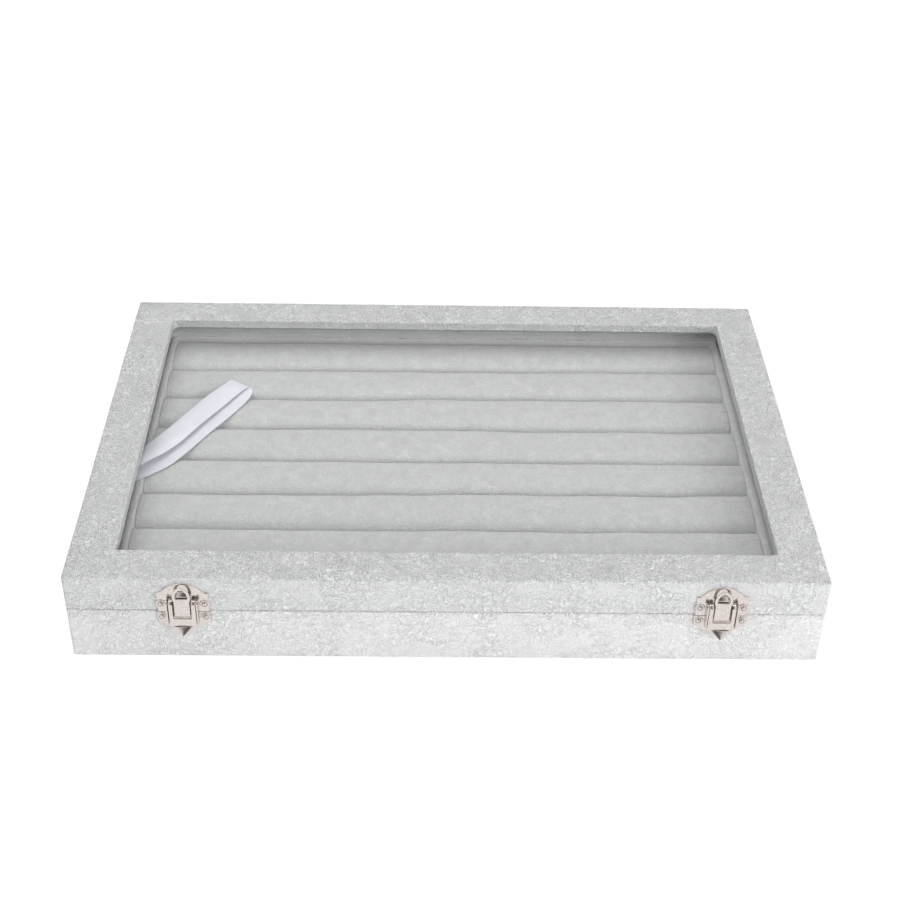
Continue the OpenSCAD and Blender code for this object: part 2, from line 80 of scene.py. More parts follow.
class Side(Enum):
    """Left and right, with the sign of X on that side."""

    LEFT = -1
    RIGHT = 1

    @property
    def word(self) -> str:
        """The side's name in lower case."""
        return self.name.lower()


class Slot(Enum):
    """The record's material slots."""

    OUTER = "outer_velvet"
    LINING = "lining_velvet"
    BOARD = "board"
    CARD = "card"
    FOAM = "foam"
    GLASS = "glass"
    SATIN = "satin_ribbon"
    NICKEL = "nickel_plate"


class Axis(Enum):
    """An axis with its unit vector."""

    X = (1.0, 0.0, 0.0)
    Y = (0.0, 1.0, 0.0)
    Z = (0.0, 0.0, 1.0)


class Element(Enum):
    """What edit mode selects."""

    CORNER = "VERT"
    EDGE = "EDGE"
    FACE = "FACE"


# ---- Modelling steps ----


class Bench:
    """The modelling steps that all makers share, each done as by hand on one mesh."""

    @staticmethod
    def take(piece: Piece | None = None) -> None:
        """Goes to object mode with one object selected and active, or none.

        Args:
            piece: the object to select.
        """
        if bpy.context.object and bpy.context.object.mode != "OBJECT":
            bpy.ops.object.mode_set(mode="OBJECT")
        bpy.ops.object.select_all(action="DESELECT")
        if piece is not None:
            piece.select_set(True)
            bpy.context.view_layer.objects.active = piece

    @staticmethod
    def adopt(name: str) -> Piece:
        """Names the primitive that was just added and applies its place to its mesh.

        Args:
            name: its name.

        Returns:
            The object.
        """
        piece = bpy.context.active_object
        piece.name = piece.data.name = name
        bpy.ops.object.transform_apply(location=True, rotation=True, scale=True)
        return piece

    @staticmethod
    def block(name: str, low: Sequence[float], high: Sequence[float]) -> Piece:
        """Adds a block between two corners.

        Args:
            name: the new object's name.
            low: its lowest corner.
            high: its highest corner.

        Returns:
            The new object.
        """
        Bench.take()
        bpy.ops.mesh.primitive_cube_add(size=1.0, location=[(a + b) / 2 for a, b in zip(low, high)],
                                        scale=[b - a for a, b in zip(low, high)])
        return Bench.adopt(name)

    @staticmethod
    def rod(name: str, radius: float, start: Point, end: Point, sides: int = 24, edge: float = 0.0,
            steps: int = 2) -> Piece:
        """Adds a closed round rod between two points on one axis.

        Args:
            name: the new object's name.
            radius: the rod's radius.
            start: the middle of one end.
            end: the middle of the other end.
            sides: how many sides its round has.
            edge: how far the edges of its ends are rounded, 0 for not at all.
            steps: the steps of that rounding.

        Returns:
            The new object.
        """
        Bench.take()
        line = Vector(end) - Vector(start)
        bpy.ops.mesh.primitive_cylinder_add(
            vertices=sides, radius=radius, depth=line.length, location=(Vector(start) + Vector(end)) / 2,
            rotation=Vector((0, 0, 1)).rotation_difference(line).to_euler())
        piece = Bench.adopt(name)
        if edge:
            Bench.ease(piece, edge, steps, 50)
        return piece

    @staticmethod
    def plate(name: str, outline: Outline, back: float, thick: float) -> Piece:
        """Cuts a sheet-metal plate that stands across Y.

        Args:
            name: the new object's name.
            outline: its corners in X and Z, anticlockwise as seen from the front.
            back: Y of its back face.
            thick: its thickness, towards -Y.

        Returns:
            The new object.
        """
        Bench.take()
        bpy.ops.mesh.primitive_circle_add(vertices=len(outline), radius=1.0, fill_type="NGON")
        piece = Bench.adopt(name)
        for vertex, (x, z) in zip(piece.data.vertices, outline):
            vertex.co = (x, back, z)
        with Bench.editing(piece):
            bpy.ops.mesh.extrude_region_move(TRANSFORM_OT_translate={"value": (0, -thick, 0)})
        Bench.outward(piece)
        return piece

    @staticmethod
    @contextmanager
    def editing(piece: Piece, kind: Element = Element.FACE, test: Test | None = None) -> Iterator[None]:
        """Opens a piece in edit mode with all of it selected, or what passes a test, and closes it again.

        Args:
            piece: the object.
            kind: what is selected in it.
            test: takes a face's middle and normal, or an edge's two ends.
        """
        Bench.take(piece)
        bpy.ops.object.mode_set(mode="EDIT")
        bpy.ops.mesh.select_mode(type=kind.value)
        bpy.ops.mesh.select_all(action="DESELECT" if test else "SELECT")
        if test:
            net = bmesh.from_edit_mesh(piece.data)
            if kind is Element.FACE:
                found = [f for f in net.faces if test(f.calc_center_median(), f.normal)]
            else:
                found = [e for e in net.edges if test(*(v.co for v in e.verts))]
            for part in found:
                part.select_set(True)
            bmesh.update_edit_mesh(piece.data)
        yield
        bpy.ops.object.mode_set(mode="OBJECT")

    @staticmethod
    def drop_faces(piece: Piece, test: Test) -> None:
        """Deletes the faces whose middle and normal pass the test."""
        with Bench.editing(piece, Element.FACE, test):
            bpy.ops.mesh.delete(type="FACE")

    @staticmethod
    def round_edges(piece: Piece, test: Test, width: float, segments: int = 4, **settings) -> None:
        """Rounds the edges whose two ends pass the test, as far as width."""
        with Bench.editing(piece, Element.EDGE, test):
            bpy.ops.mesh.bevel(offset=width, segments=segments, affect="EDGES", **settings)

    @staticmethod
    def slice(piece: Piece, axis: Axis, places: Iterable[float]) -> None:
        """Cuts a piece's faces across an axis.

        Args:
            piece: the object.
            axis: the axis that the cuts stand across.
            places: where on the axis they lie.
        """
        with Bench.editing(piece):
            for place in places:
                bpy.ops.mesh.select_all(action="SELECT")
                bpy.ops.mesh.bisect(
                    plane_co=Vector(axis.value) * place, plane_no=axis.value, threshold=HAIR)

    @staticmethod
    def steps(low: float, high: float, pitch: float) -> list[float]:
        """Evenly spaced places between low and high, about pitch apart."""
        count = max(1, round((high - low) / pitch))
        return [low + (high - low) * i / count for i in range(1, count)]

    @staticmethod
    def modify(piece: Piece, kind: str, **settings) -> None:
        """Adds a modifier and applies it.

        Args:
            piece: the object.
            kind: the modifier's type.
            settings: its settings.
        """
        Bench.take(piece)
        modifier = piece.modifiers.new(kind.lower(), kind)
        for name, value in settings.items():
            setattr(modifier, name, value)
        bpy.ops.object.modifier_apply(modifier=modifier.name)

    @staticmethod
    def ease(piece: Piece, width: float, segments: int = 2, angle: float = 40.0) -> None:
        """Rounds every edge that is sharper than the angle, in degrees."""
        Bench.modify(piece, "BEVEL", width=width, segments=segments, limit_method="ANGLE",
                     angle_limit=math.radians(angle), use_clamp_overlap=True)

    @staticmethod
    def cut(piece: Piece, cutter: Piece) -> None:
        """Cuts the cutter's shape out of piece and throws the cutter away."""
        Bench.modify(piece, "BOOLEAN", operation="DIFFERENCE", object=cutter, solver="EXACT")
        bpy.data.objects.remove(cutter)

    @staticmethod
    def outward(piece: Piece) -> None:
        """Merges doubled vertices and turns all normals outwards.

        Args:
            piece: the object.
        """
        with Bench.editing(piece, Element.CORNER):
            bpy.ops.mesh.remove_doubles(threshold=HAIR)
            bpy.ops.mesh.normals_make_consistent(inside=False)

    @staticmethod
    def smooth(piece: Piece, angle: float) -> None:
        """Shades piece smooth, apart from edges sharper than the angle, in degrees."""
        Bench.take(piece)
        bpy.ops.object.shade_smooth_by_angle(angle=math.radians(angle))

    @staticmethod
    def join(pieces: Sequence[Piece]) -> Piece:
        """Joins pieces into the first of them.

        Args:
            pieces: the objects.

        Returns:
            The first one.
        """
        Bench.take(pieces[0])
        for piece in pieces[1:]:
            piece.select_set(True)
        if len(pieces) > 1:
            bpy.ops.object.join()
        return pieces[0]

    @staticmethod
    def shape(piece: Piece, move: Callable[[Vector], Sequence[float]]) -> None:
        """Moves every vertex.

        Args:
            piece: the object.
            move: takes a vertex's place and returns its new one.
        """
        for vertex in piece.data.vertices:
            vertex.co = move(vertex.co.copy())
        piece.data.update()

    @staticmethod
    def ruffle(piece: Piece, height: float, size: float, seed: float) -> None:
        """Moves vertices along their normals by smooth noise.

        Args:
            piece: the object to move.
            height: the largest move.
            size: the width of one swell.
            seed: where in the noise to start.
        """
        shift = Vector((seed, 2.3 * seed, -1.7 * seed))
        moves = [v.normal * noise.noise(v.co / size + shift) * height for v in piece.data.vertices]
        for vertex, move in zip(piece.data.vertices, moves):
            vertex.co += move
        piece.data.update()


# ---- Finishes ----


def linear(level: float) -> float:
    """A display level from 0 to 1 as linear light."""
    return level / 12.92 if level <= 0.04045 else ((level + 0.055) / 1.055) ** 2.4


def tone(colour: Colour, scale: float = 1.0) -> tuple[float, float, float, float]:
    """A colour in display levels from 0 to 255, scaled, as a shader colour."""
    return (*(linear(min(1.0, scale * c / 255)) for c in colour), 1.0)


class Recipe:
    """The node tree of a new material or world while it is put together."""

    def __init__(self, name: str, world: bool = False) -> None:
        """Starts an empty tree.

        Args:
            name: the material's or world's name.
            world: True for a world.
        """
        self.holder = (bpy.data.worlds if world else bpy.data.materials).new(name)
        self.holder.use_nodes = True
        self.output = "OutputWorld" if world else "OutputMaterial"
        self.tree = self.holder.node_tree
        self.tree.nodes.clear()

    def add(self, kind: str, inputs: dict | None = None, **settings) -> bpy.types.Node:
        """Adds a node.

        Args:
            kind: the node's type, without ShaderNode.
            inputs: values or sockets for its inputs, by name or number.
            settings: the node's own properties.

        Returns:
            The new node.
        """
        node = self.tree.nodes.new("ShaderNode" + kind)
        for name, value in settings.items():
            setattr(node, name, value)
        for name, value in (inputs or {}).items():
            if isinstance(value, Socket):
                self.tree.links.new(value, node.inputs[name])
            else:
                node.inputs[name].default_value = value
        return node

    def place(self, output: str = "Object") -> Socket:
        """The point on the piece, or its normal, in object coordinates."""
        return self.add("TexCoord").outputs[output]

    def math(self, operation: str, *values: float | Socket) -> Socket:
        """One arithmetic step on numbers or sockets."""
        return self.add("Math", dict(enumerate(values)), operation=operation).outputs[0]

    def noise(self, place: Socket, size: float, detail: float = 2.0, rough: float = 0.5,
              distortion: float = 0.0) -> Socket:
        """Noise whose features are about size wide, from 0 to 1."""
        return self.add("TexNoise", {
            "Vector": place, "Scale": 1 / size, "Detail": detail, "Roughness": rough,
            "Distortion": distortion}).outputs["Fac"]

    def band(self, value: Socket, low: float, high: float, start: float = 0.0, end: float = 1.0) -> Socket:
        """Stretches value from between low and high to between start and end."""
        return self.add("MapRange", {
            "Value": value, "From Min": low, "From Max": high, "To Min": start, "To Max": end}).outputs[0]

    def around(self, value: Socket, depth: float) -> Socket:
        """Noise as a swing of depth to both sides of 0."""
        return self.band(value, 0.3, 0.7, -depth, depth)

    def mix(self, share: float | Socket, first: Shade, second: Shade) -> Socket:
        """Mixes two colours."""
        return self.add("Mix", {0: share, 6: first, 7: second}, data_type="RGBA").outputs[2]

    def bump(self, height: Socket, distance: float, strength: float = 1.0,
             normal: Socket | None = None) -> Socket:
        """A normal bumped by height, over a distance in metres."""
        below = {} if normal is None else {"Normal": normal}
        inputs = {"Height": height, "Distance": distance, "Strength": strength, **below}
        return self.add("Bump", inputs).outputs[0]

    def rays(self, *kinds: str) -> Socket:
        """1 for the kinds of rays that are named and 0 for others."""
        path = self.add("LightPath")
        return reduce(lambda a, b: self.math("MAXIMUM", a, b), [path.outputs[f"Is {k} Ray"] for k in kinds])

    def glow(self, strength: float | Socket, colour: Sequence[float] = (1, 1, 1, 1)) -> Socket:
        """A surface that shines."""
        return self.add("Emission", {"Color": colour, "Strength": strength}).outputs[0]

    def surface(self, **inputs: Shade | float) -> Socket:
        """A plain shader; an input's name has _ for a space."""
        return self.add("BsdfPrincipled", {k.replace("_", " "): v for k, v in inputs.items()}).outputs[0]

    def either(self, share: Socket, first: Socket, second: Socket) -> Socket:
        """Mixes two shaders."""
        return self.add("MixShader", {0: share, 1: first, 2: second}).outputs[0]

    def close(self, shader: Socket) -> bpy.types.Material | bpy.types.World:
        """Links the shader to the output and returns the material or world."""
        self.add(self.output, {"Surface": shader})
        return self.holder


@dataclass(frozen=True)
class Velvet:
    """Short-pile velvet whose pile is pressed in different directions."""

    name: str
    light: Colour = (230, 232, 232)
    dark: Colour = (198, 198, 198)
    crinkle: float = 0.0011
    patch: float = 0.016
    patch_depth: float = 0.08
    speck_depth: float = 0.16
    relief: float = 0.0009
    sheen: float = 0.25
    # how much stronger the specks and patches are on faces that point up: painted shade for light that grazes
    # the top
    top_grazing_shade: float = 1.9

    def material(self) -> bpy.types.Material:
        """Builds the material.

        Returns:
            The material.
        """
        r = Recipe(self.name)
        place = r.place()
        warp = r.add("TexNoise", {"Vector": place, "Scale": 1 / (3.2 * self.crinkle), "Detail": 1.5})
        push = r.add("VectorMath", {0: warp.outputs["Color"], 1: (0.5, 0.5, 0.5)}, operation="SUBTRACT")
        bent = r.add("VectorMath", {0: push.outputs[0], 1: (3.6 * self.crinkle,) * 3, 2: place},
                     operation="MULTIPLY_ADD").outputs[0]
        worms = r.noise(bent, self.crinkle, detail=2.5, rough=0.65)
        pile = r.noise(place, 0.36 * self.crinkle, detail=1.0)
        crush = r.noise(place, self.patch, detail=3.0, rough=0.6, distortion=0.8)
        lay = r.mix(r.band(crush, 0.38, 0.62, 0.45, 1.0), (0.5, 0.5, 0.5, 1), r.band(worms, 0.34, 0.66))
        # Painted shade: specks and patches get stronger on faces that point up, standing in for the deeper
        # bump shading of light that grazes the top.
        facing = r.add("SeparateXYZ", {0: r.place("Normal")}).outputs["Z"]
        grazing_shade = r.band(facing, 0.3, 0.9, 1.0, 1.0 + self.top_grazing_shade)
        specks, patches = (r.math("MULTIPLY", grazing_shade, r.around(value, depth))
                           for value, depth in ((pile, self.speck_depth), (crush, self.patch_depth)))
        shade = r.math("ADD", 1.0, r.math("ADD", patches, specks))
        shaded = r.add("VectorMath", {0: r.mix(lay, tone(self.dark), tone(self.light)), "Scale": shade},
                       operation="SCALE").outputs[0]
        height = r.math("ADD", lay, r.math("MULTIPLY", pile, 0.6))
        return r.close(r.surface(
            Base_Color=shaded, Roughness=0.92, Specular_IOR_Level=0.2, Sheen_Weight=self.sheen,
            Sheen_Roughness=0.4, Sheen_Tint=(1, 1, 1, 1), Normal=r.bump(height, self.relief)))


@dataclass(frozen=True)
class Satin:
    """Woven satin with its gloss along the ribbon."""

    name: str
    colour: Colour = (226, 228, 237)
    thread: float = 0.00022

    def material(self) -> bpy.types.Material:
        """Builds the material; it reads the ribbon's UV map, in metres along V.

        Returns:
            The material.
        """
        r = Recipe(self.name)
        uv = r.add("UVMap").outputs[0]
        rows = r.add("TexWave", {"Vector": uv, "Scale": 0.05 / self.thread, "Distortion": 0.4, "Detail": 1.0},
                     wave_type="BANDS", bands_direction="X").outputs["Fac"]
        soft = r.noise(uv, 0.012, detail=2.0)
        return r.close(r.surface(
            Base_Color=r.mix(r.band(soft, 0.3, 0.7), tone(self.colour, 0.96), tone(self.colour)),
            Roughness=r.band(soft, 0.3, 0.7, 0.34, 0.44), Specular_IOR_Level=0.55, Anisotropic=0.5,
            Sheen_Weight=0.2, Sheen_Roughness=0.3, Normal=r.bump(rows, 0.00003, 0.6)))


@dataclass(frozen=True)
class Nickel:
    """Bright plating on stamped steel, with faint waves and hairline scratches."""

    name: str
    colour: Colour = (218, 210, 206)
    rough: float = 0.17

    def material(self) -> bpy.types.Material:
        """Builds the material.

        Returns:
            The material.
        """
        r = Recipe(self.name)
        place = r.place()
        stretched = r.add("Mapping", {"Vector": place, "Scale": (1.0, 1.0, 9.0)}).outputs[0]
        scratch = r.noise(stretched, 0.0016, detail=4.0, rough=0.7)
        wave, spots = r.noise(place, 0.004, detail=1.0), r.noise(place, 0.0009, detail=2.0)
        plating = r.mix(r.band(spots, 0.42, 0.7), tone(self.colour), tone(self.colour, 0.93))
        return r.close(r.surface(
            Base_Color=plating, Metallic=1.0,
            Roughness=r.band(scratch, 0.3, 0.7, self.rough - 0.05, self.rough + 0.07),
            Normal=r.bump(wave, 0.00006, 0.5, r.bump(scratch, 0.000008, 0.4))))


@dataclass(frozen=True)
class Glass:
    """Clear float glass that lets the lamps through."""

    name: str
    tint: Colour = (253, 254, 253)

    def material(self) -> bpy.types.Material:
        """Builds the material.

        Returns:
            The material.
        """
        r = Recipe(self.name)
        film = r.noise(r.place(), 0.03, detail=3.0)
        pane = r.surface(Base_Color=tone(self.tint), Transmission_Weight=1.0, IOR=1.45,
                         Roughness=r.band(film, 0.3, 0.7, 0.0, 0.03))
        clear = r.add("BsdfTransparent", {"Color": (0.97, 0.97, 0.97, 1)}).outputs[0]
        return r.close(r.either(r.rays("Shadow", "Diffuse"), pane, clear))


@dataclass(frozen=True)
class Fibre:
    """Fibreboard, card or foam: a plain stock with a fine grain."""

    name: str
    colour: Colour
    grain: float = 0.0006
    depth: float = 0.08
    rough: float = 0.85

    def material(self) -> bpy.types.Material:
        """Builds the material.

        Returns:
            The material.
        """
        r = Recipe(self.name)
        specks, clouds = r.noise(r.place(), self.grain, 3.0, 0.7), r.noise(r.place(), 40 * self.grain)
        share = r.math("ADD", r.math("MULTIPLY", specks, 0.7), r.math("MULTIPLY", clouds, 0.3))
        return r.close(r.surface(
            Base_Color=r.mix(r.band(share, 0.35, 0.65), tone(self.colour, 1 - self.depth),
                             tone(self.colour, 1 + self.depth)),
            Roughness=self.rough, Specular_IOR_Level=0.25, Normal=r.bump(specks, 0.3 * self.grain)))


class Stock(Enum):
    """The finishes in use, each with its record slot."""

    OUTER = (Velvet("crushed_lid_velvet"), Slot.OUTER)
    LOWER = (Velvet("crushed_base_velvet", light=(238, 238, 238), dark=(211, 211, 211), speck_depth=0.11),
             Slot.OUTER)
    ROLL = (Velvet("roll_velvet", light=(198, 199, 199), dark=(182, 183, 183), crinkle=0.0014,
                   patch=0.007, patch_depth=0.05, speck_depth=0.06, relief=0.0003, sheen=0.4,
                   top_grazing_shade=1.1), Slot.LINING)
    # Painted shade: a darker copy of the lining velvet for the glass retaining frame, which lies in the
    # shadow under the window's rails.
    SHADED = (Velvet("deep_lining_velvet", light=(158, 160, 160), dark=(148, 150, 150), crinkle=0.0014,
                     patch=0.010, patch_depth=0.05, speck_depth=0.05, relief=0.0003, sheen=0.2), Slot.OUTER)
    LINING = (Velvet("lining_velvet", light=(196, 197, 197), dark=(184, 185, 185), crinkle=0.0014,
                     patch_depth=0.04, speck_depth=0.03, relief=0.00015), Slot.LINING)
    SATIN = (Satin("white_satin"), Slot.SATIN)
    NICKEL = (Nickel("bright_nickel"), Slot.NICKEL)
    GLASS = (Glass("float_glass"), Slot.GLASS)
    BOARD = (Fibre("fibreboard", (168, 140, 108)), Slot.BOARD)
    CARD = (Fibre("grey_card", (150, 148, 143), grain=0.0009), Slot.CARD)
    FOAM = (Fibre("soft_foam", (236, 230, 214), grain=0.0008, depth=0.05), Slot.FOAM)

    @property
    def slot(self) -> Slot:
        """The record slot this finish stands for."""
        return self.value[1]


@lru_cache(maxsize=None)
def finish_of(stock: Stock) -> bpy.types.Material:
    """The stock's material, made once."""
    return stock.value[0].material()


def coat(piece: Piece, stock: Stock) -> None:
    """Gives a piece its finish.

    Args:
        piece: the object, finished and in place.
        stock: its finish.
    """
    piece.data.materials.clear()
    piece.data.materials.append(finish_of(stock))


def dress(piece: Piece, stock: Stock, body: str, *stands_for: str) -> None:
    """Gives a piece its finish and its body.

    Args:
        piece: the object, finished and in place.
        stock: its finish.
        body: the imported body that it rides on.
        stands_for: the nodes that it replaces.
    """
    coat(piece, stock)
    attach(piece, body)
    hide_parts(*stands_for)
    LOG.info("%s: %d faces, rides on %s", piece.name, len(piece.data.polygons), body)


def dress_nodes(stock: Stock, *names: str) -> None:
    """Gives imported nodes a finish, on their own material slots.

    Args:
        stock: the finish.
        names: the nodes.
    """
    for name in names:
        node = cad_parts[name]
        if not node.material_slots:
            node.data.materials.append(finish_of(stock))
        for holder in node.material_slots:
            holder.material = finish_of(stock)
        LOG.info("%s: packed node in %s", name, stock.name.lower())


# ---- Studio ----


@dataclass
class Studio:
    """Camera, floor, lamps and the light of the room."""

    camera_place: Point = (-0.0115, -0.6587, 0.5206)
    camera_turn: Point = (53.486, -1.001, -0.44)
    lens: float = 63.08
    floor_size: float = 8.0
    room_light: float = 0.54
    floor_glow: float = 0.42
    lamp_size: float = 0.8
    lamps: Sequence[tuple[str, Point, float]] = (
        ("front_lamp", (0.74, -1.05, 0.50), 8.6), ("side_lamp", (0.90, -0.55, 0.36), 1.9),
        ("top_lamp", (-0.22, 0.11, 0.95), 4.95))
    aim: Point = (0.0, -0.02, 0.03)
    seen: Sequence[str] = ("Camera", "Glossy", "Transmission")
    card_glow: float = 1.7

    def hang(self, name: str, data: bpy.types.Camera | bpy.types.Light, place: Point) -> Piece:
        """Puts a camera or lamp in its place.

        Args:
            name: the new object's name.
            data: the camera or lamp.
            place: where it goes.

        Returns:
            The new object.
        """
        holder = bpy.data.objects.new(name, data)
        bpy.context.scene.collection.objects.link(holder)
        holder.location = place
        return holder

    def camera(self) -> None:
        """Sets up the camera."""
        data = bpy.data.cameras.new("camera")
        data.lens, data.sensor_width = self.lens, 36.0
        data.clip_start, data.clip_end = 0.01, 50.0
        holder = self.hang("camera", data, self.camera_place)
        holder.rotation_euler = [math.radians(a) for a in self.camera_turn]
        bpy.context.scene.camera = holder

    def floor(self) -> None:
        """Lays a pale floor that shows white and keeps a soft shadow."""
        Bench.take()
        bpy.ops.mesh.primitive_plane_add(size=self.floor_size)
        piece = Bench.adopt("floor")
        r = Recipe("pale_floor")
        matt = r.add("AddShader", {0: r.add("BsdfDiffuse", {"Color": (0.9, 0.9, 0.9, 1)}).outputs[0],
                                   1: r.glow(self.floor_glow)}).outputs[0]
        share = r.math("MULTIPLY", r.rays(*self.seen), 0.8)
        piece.data.materials.append(r.close(r.either(share, matt, r.glow(1.02))))

    def room(self) -> None:
        """Fills the room with even light, white where it is seen or mirrored."""
        r = Recipe("room", world=True)
        even, white = (r.add("Background", {"Color": (1, 1, 1, 1), "Strength": level}).outputs[0]
                       for level in (self.room_light, 1.0))
        bpy.context.scene.world = r.close(r.either(r.rays(*self.seen), even, white))

    def lamp(self, name: str, place: Point, power: float) -> None:
        """Hangs a square soft lamp that points at the box and isn't mirrored in it.

        Args:
            name: the lamp's name.
            place: where it hangs.
            power: its power in watts.
        """
        data = bpy.data.lights.new(name, "AREA")
        data.shape, data.size, data.energy = "SQUARE", self.lamp_size, power
        holder = self.hang(name, data, place)
        holder.visible_glossy = holder.visible_transmission = False
        holder.rotation_euler = (Vector(self.aim) - Vector(place)).to_track_quat("-Z", "Y").to_euler()

    def cards(self) -> None:
        """Sets up a dark card behind the camera and two cards overhead, for the metal to mirror."""
        r = Recipe("dark_card")
        across = r.add("SeparateXYZ", {0: r.place()}).outputs["X"]
        gleam = r.band(r.math("MULTIPLY", across, across), 0.02, 0.5, 0.10, 0.95)
        dark = r.close(r.glow(gleam, (1, 0.98, 0.99, 1)))
        r = Recipe("bright_card")
        bright = r.close(r.glow(self.card_glow))
        for name, low, high, finish in (
                ("card_behind_camera", (-0.9, -1.62, 0.20), (0.9, -1.60, 1.70), dark),
                ("dark_card_overhead", (-0.9, -1.60, 1.70), (0.9, -0.35, 1.72), dark),
                ("bright_card_overhead", (-1.6, -0.33, 1.70), (1.6, 0.6, 1.72), bright)):
            card = Bench.block(name, low, high)
            Bench.ease(card, 0.005)
            card.data.materials.append(finish)
            card.visible_camera = card.visible_diffuse = card.visible_shadow = False
            card.visible_transmission = False

    def build(self) -> None:
        """Sets everything up."""
        bpy.context.scene.view_settings.view_transform = "Standard"
        self.camera()
        self.floor()
        self.room()
        for lamp in self.lamps:
            self.lamp(*lamp)
        self.cards()


# ---- The box ----


def at_height(height: float) -> Test:
    """A test for edges that lie at a height."""
    return lambda a, b: max(abs(a.z - height), abs(b.z - height)) < HAIR


@dataclass(frozen=True)
class Opening:
    """A rectangular opening, even about x = 0."""

    half_width: float
    front: float
    back: float

    def distance(self, point: Vector) -> float:
        """How far a point lies outside the outline, below 0 inside."""
        return max(abs(point.x) - self.half_width, self.front - point.y, point.y - self.back)

    def holds(self, point: Vector) -> bool:
        """True inside the outline."""
        return self.distance(point) < 0

    def edges(self, a: Vector, b: Vector) -> bool:
        """True for an edge that runs along the outline."""
        middle = (a + b) / 2
        return max(abs(self.distance(p)) for p in (a, b, middle)) < HAIR * 10

    def edges_at(self, height: float) -> Test:
        """A test for edges that run along the outline at a height."""
        return lambda a, b: at_height(height)(a, b) and self.edges(a, b)

    def pushed(self, point: Vector, push: float) -> Pair:
        """Moves a point on or near the outline outwards from each side it is near.

        Args:
            point: the point.
            push: how far it moves.

        Returns:
            Its new X and Y.
        """
        near = 0.001
        x, y = point.x, point.y
        if abs(abs(x) - self.half_width) < near and self.front - near < y < self.back + near:
            x += math.copysign(push, x)
        if abs(x) < self.half_width + near:
            if abs(y - self.front) < near:
                y -= push
            elif abs(y - self.back) < near:
                y += push
        return x, y


@dataclass
class Carcass:
    """Sizes that the base and the lid share."""

    width: float = 0.350
    depth: float = 0.240
    height: float = 0.048
    wall: float = 0.008
    velvet: float = 0.0005
    corner: float = 0.0015
    soft_edge: float = 0.0009
    net: float = 0.005
    swell: float = 0.00016
    swell_size: float = 0.024
    crease_share: float = 0.4
    crease_size: float = 0.007

    @property
    def inner_width(self) -> float:
        """The inside's width."""
        return self.width - 2 * self.wall

    @property
    def inner_depth(self) -> float:
        """The inside's depth."""
        return self.depth - 2 * self.wall

    @property
    def outline(self) -> Opening:
        """The outside's outline."""
        return Opening(self.width / 2, -self.depth / 2, self.depth / 2)

    @property
    def inside(self) -> Opening:
        """The inside's outline."""
        return Opening(self.inner_width / 2, -self.inner_depth / 2, self.inner_depth / 2)

    def block(self, name: str, low: float, high: float) -> Piece:
        """A block as large as the box, between two heights."""
        return Bench.block(name, (-self.width / 2, -self.depth / 2, low),
                           (self.width / 2, self.depth / 2, high))

    def shell(self, name: str, low: float, high: float, soft: Sequence[float]) -> Piece:
        """A block with its upright corners rounded.

        Args:
            name: its name.
            low: Z of its underside.
            high: Z of its top.
            soft: the heights at which its outline is rounded too.

        Returns:
            The new object.
        """
        piece = self.block(name, low, high)
        Bench.round_edges(piece, lambda a, b: abs(a.z - b.z) > self.corner, self.corner)
        for height in soft:
            Bench.round_edges(piece, at_height(height), self.soft_edge, 3)
        return piece

    def open_up(self, piece: Piece, height: float, opening: Opening) -> None:
        """Cuts a rectangular opening into the level face at a height.

        Args:
            piece: the shell.
            height: Z of the face.
            opening: the opening's outline.
        """
        Bench.slice(piece, Axis.X, (-opening.half_width, opening.half_width))
        Bench.slice(piece, Axis.Y, (opening.front, opening.back))
        Bench.drop_faces(piece, lambda c, n: abs(c.z - height) < HAIR and opening.holds(c))

    def turn_in(self, piece: Piece, height: float, opening: Opening, drop: float) -> None:
        """Turns the cloth at an opening's edge straight up by drop, or down where drop is below 0."""
        with Bench.editing(piece, Element.EDGE, opening.edges_at(height)):
            bpy.ops.mesh.extrude_region_move(TRANSFORM_OT_translate={"value": (0, 0, drop)})

    def cloth(self, piece: Piece, low: float, high: float, seed: float) -> None:
        """Turns a folded surface into a sheet of velvet that isn't quite flat.

        Args:
            piece: the surface.
            low: Z of its lowest point.
            high: Z of its highest point.
            seed: where its unevenness starts in the noise.
        """
        for axis, start, end in ((Axis.X, -self.width / 2, self.width / 2),
                                 (Axis.Y, -self.depth / 2, self.depth / 2), (Axis.Z, low, high)):
            Bench.slice(piece, axis, Bench.steps(start, end, self.net))
        Bench.outward(piece)
        Bench.ruffle(piece, self.swell, self.swell_size, seed)
        Bench.ruffle(piece, self.crease_share * self.swell, self.crease_size, seed + 5)
        Bench.modify(piece, "SOLIDIFY", thickness=self.velvet, offset=-1.0)
        Bench.smooth(piece, 50)


@dataclass
class Base:
    """The lower half: boards, velvet wrap and lining."""

    box: Carcass
    foot: float = 0.0005
    rim: float = 0.02865
    body: str = Body.BASE.value

    def wrap(self) -> None:
        """The velvet over the sides and the rim."""
        piece = self.box.shell("base_velvet", self.foot, self.rim, (self.rim,))
        Bench.drop_faces(piece, lambda c, n: n.z < -0.9)
        self.box.open_up(piece, self.rim, self.box.inside)
        self.box.turn_in(piece, self.rim, self.box.inside, -self.box.velvet)
        self.box.cloth(piece, self.foot, self.rim, seed=3.1)
        dress(piece, Stock.LOWER, self.body, "base_velvet_wrap")

    def build(self) -> None:
        """Makes the base's pieces."""
        self.wrap()
        dress_nodes(Stock.BOARD, *(f"base_{side}_wall" for side in WALLS), "base_bottom_board")
        dress_nodes(Stock.LINING, "base_lining")
        dress_nodes(Stock.CARD, "base_underside_paper", "roll_tray_card")


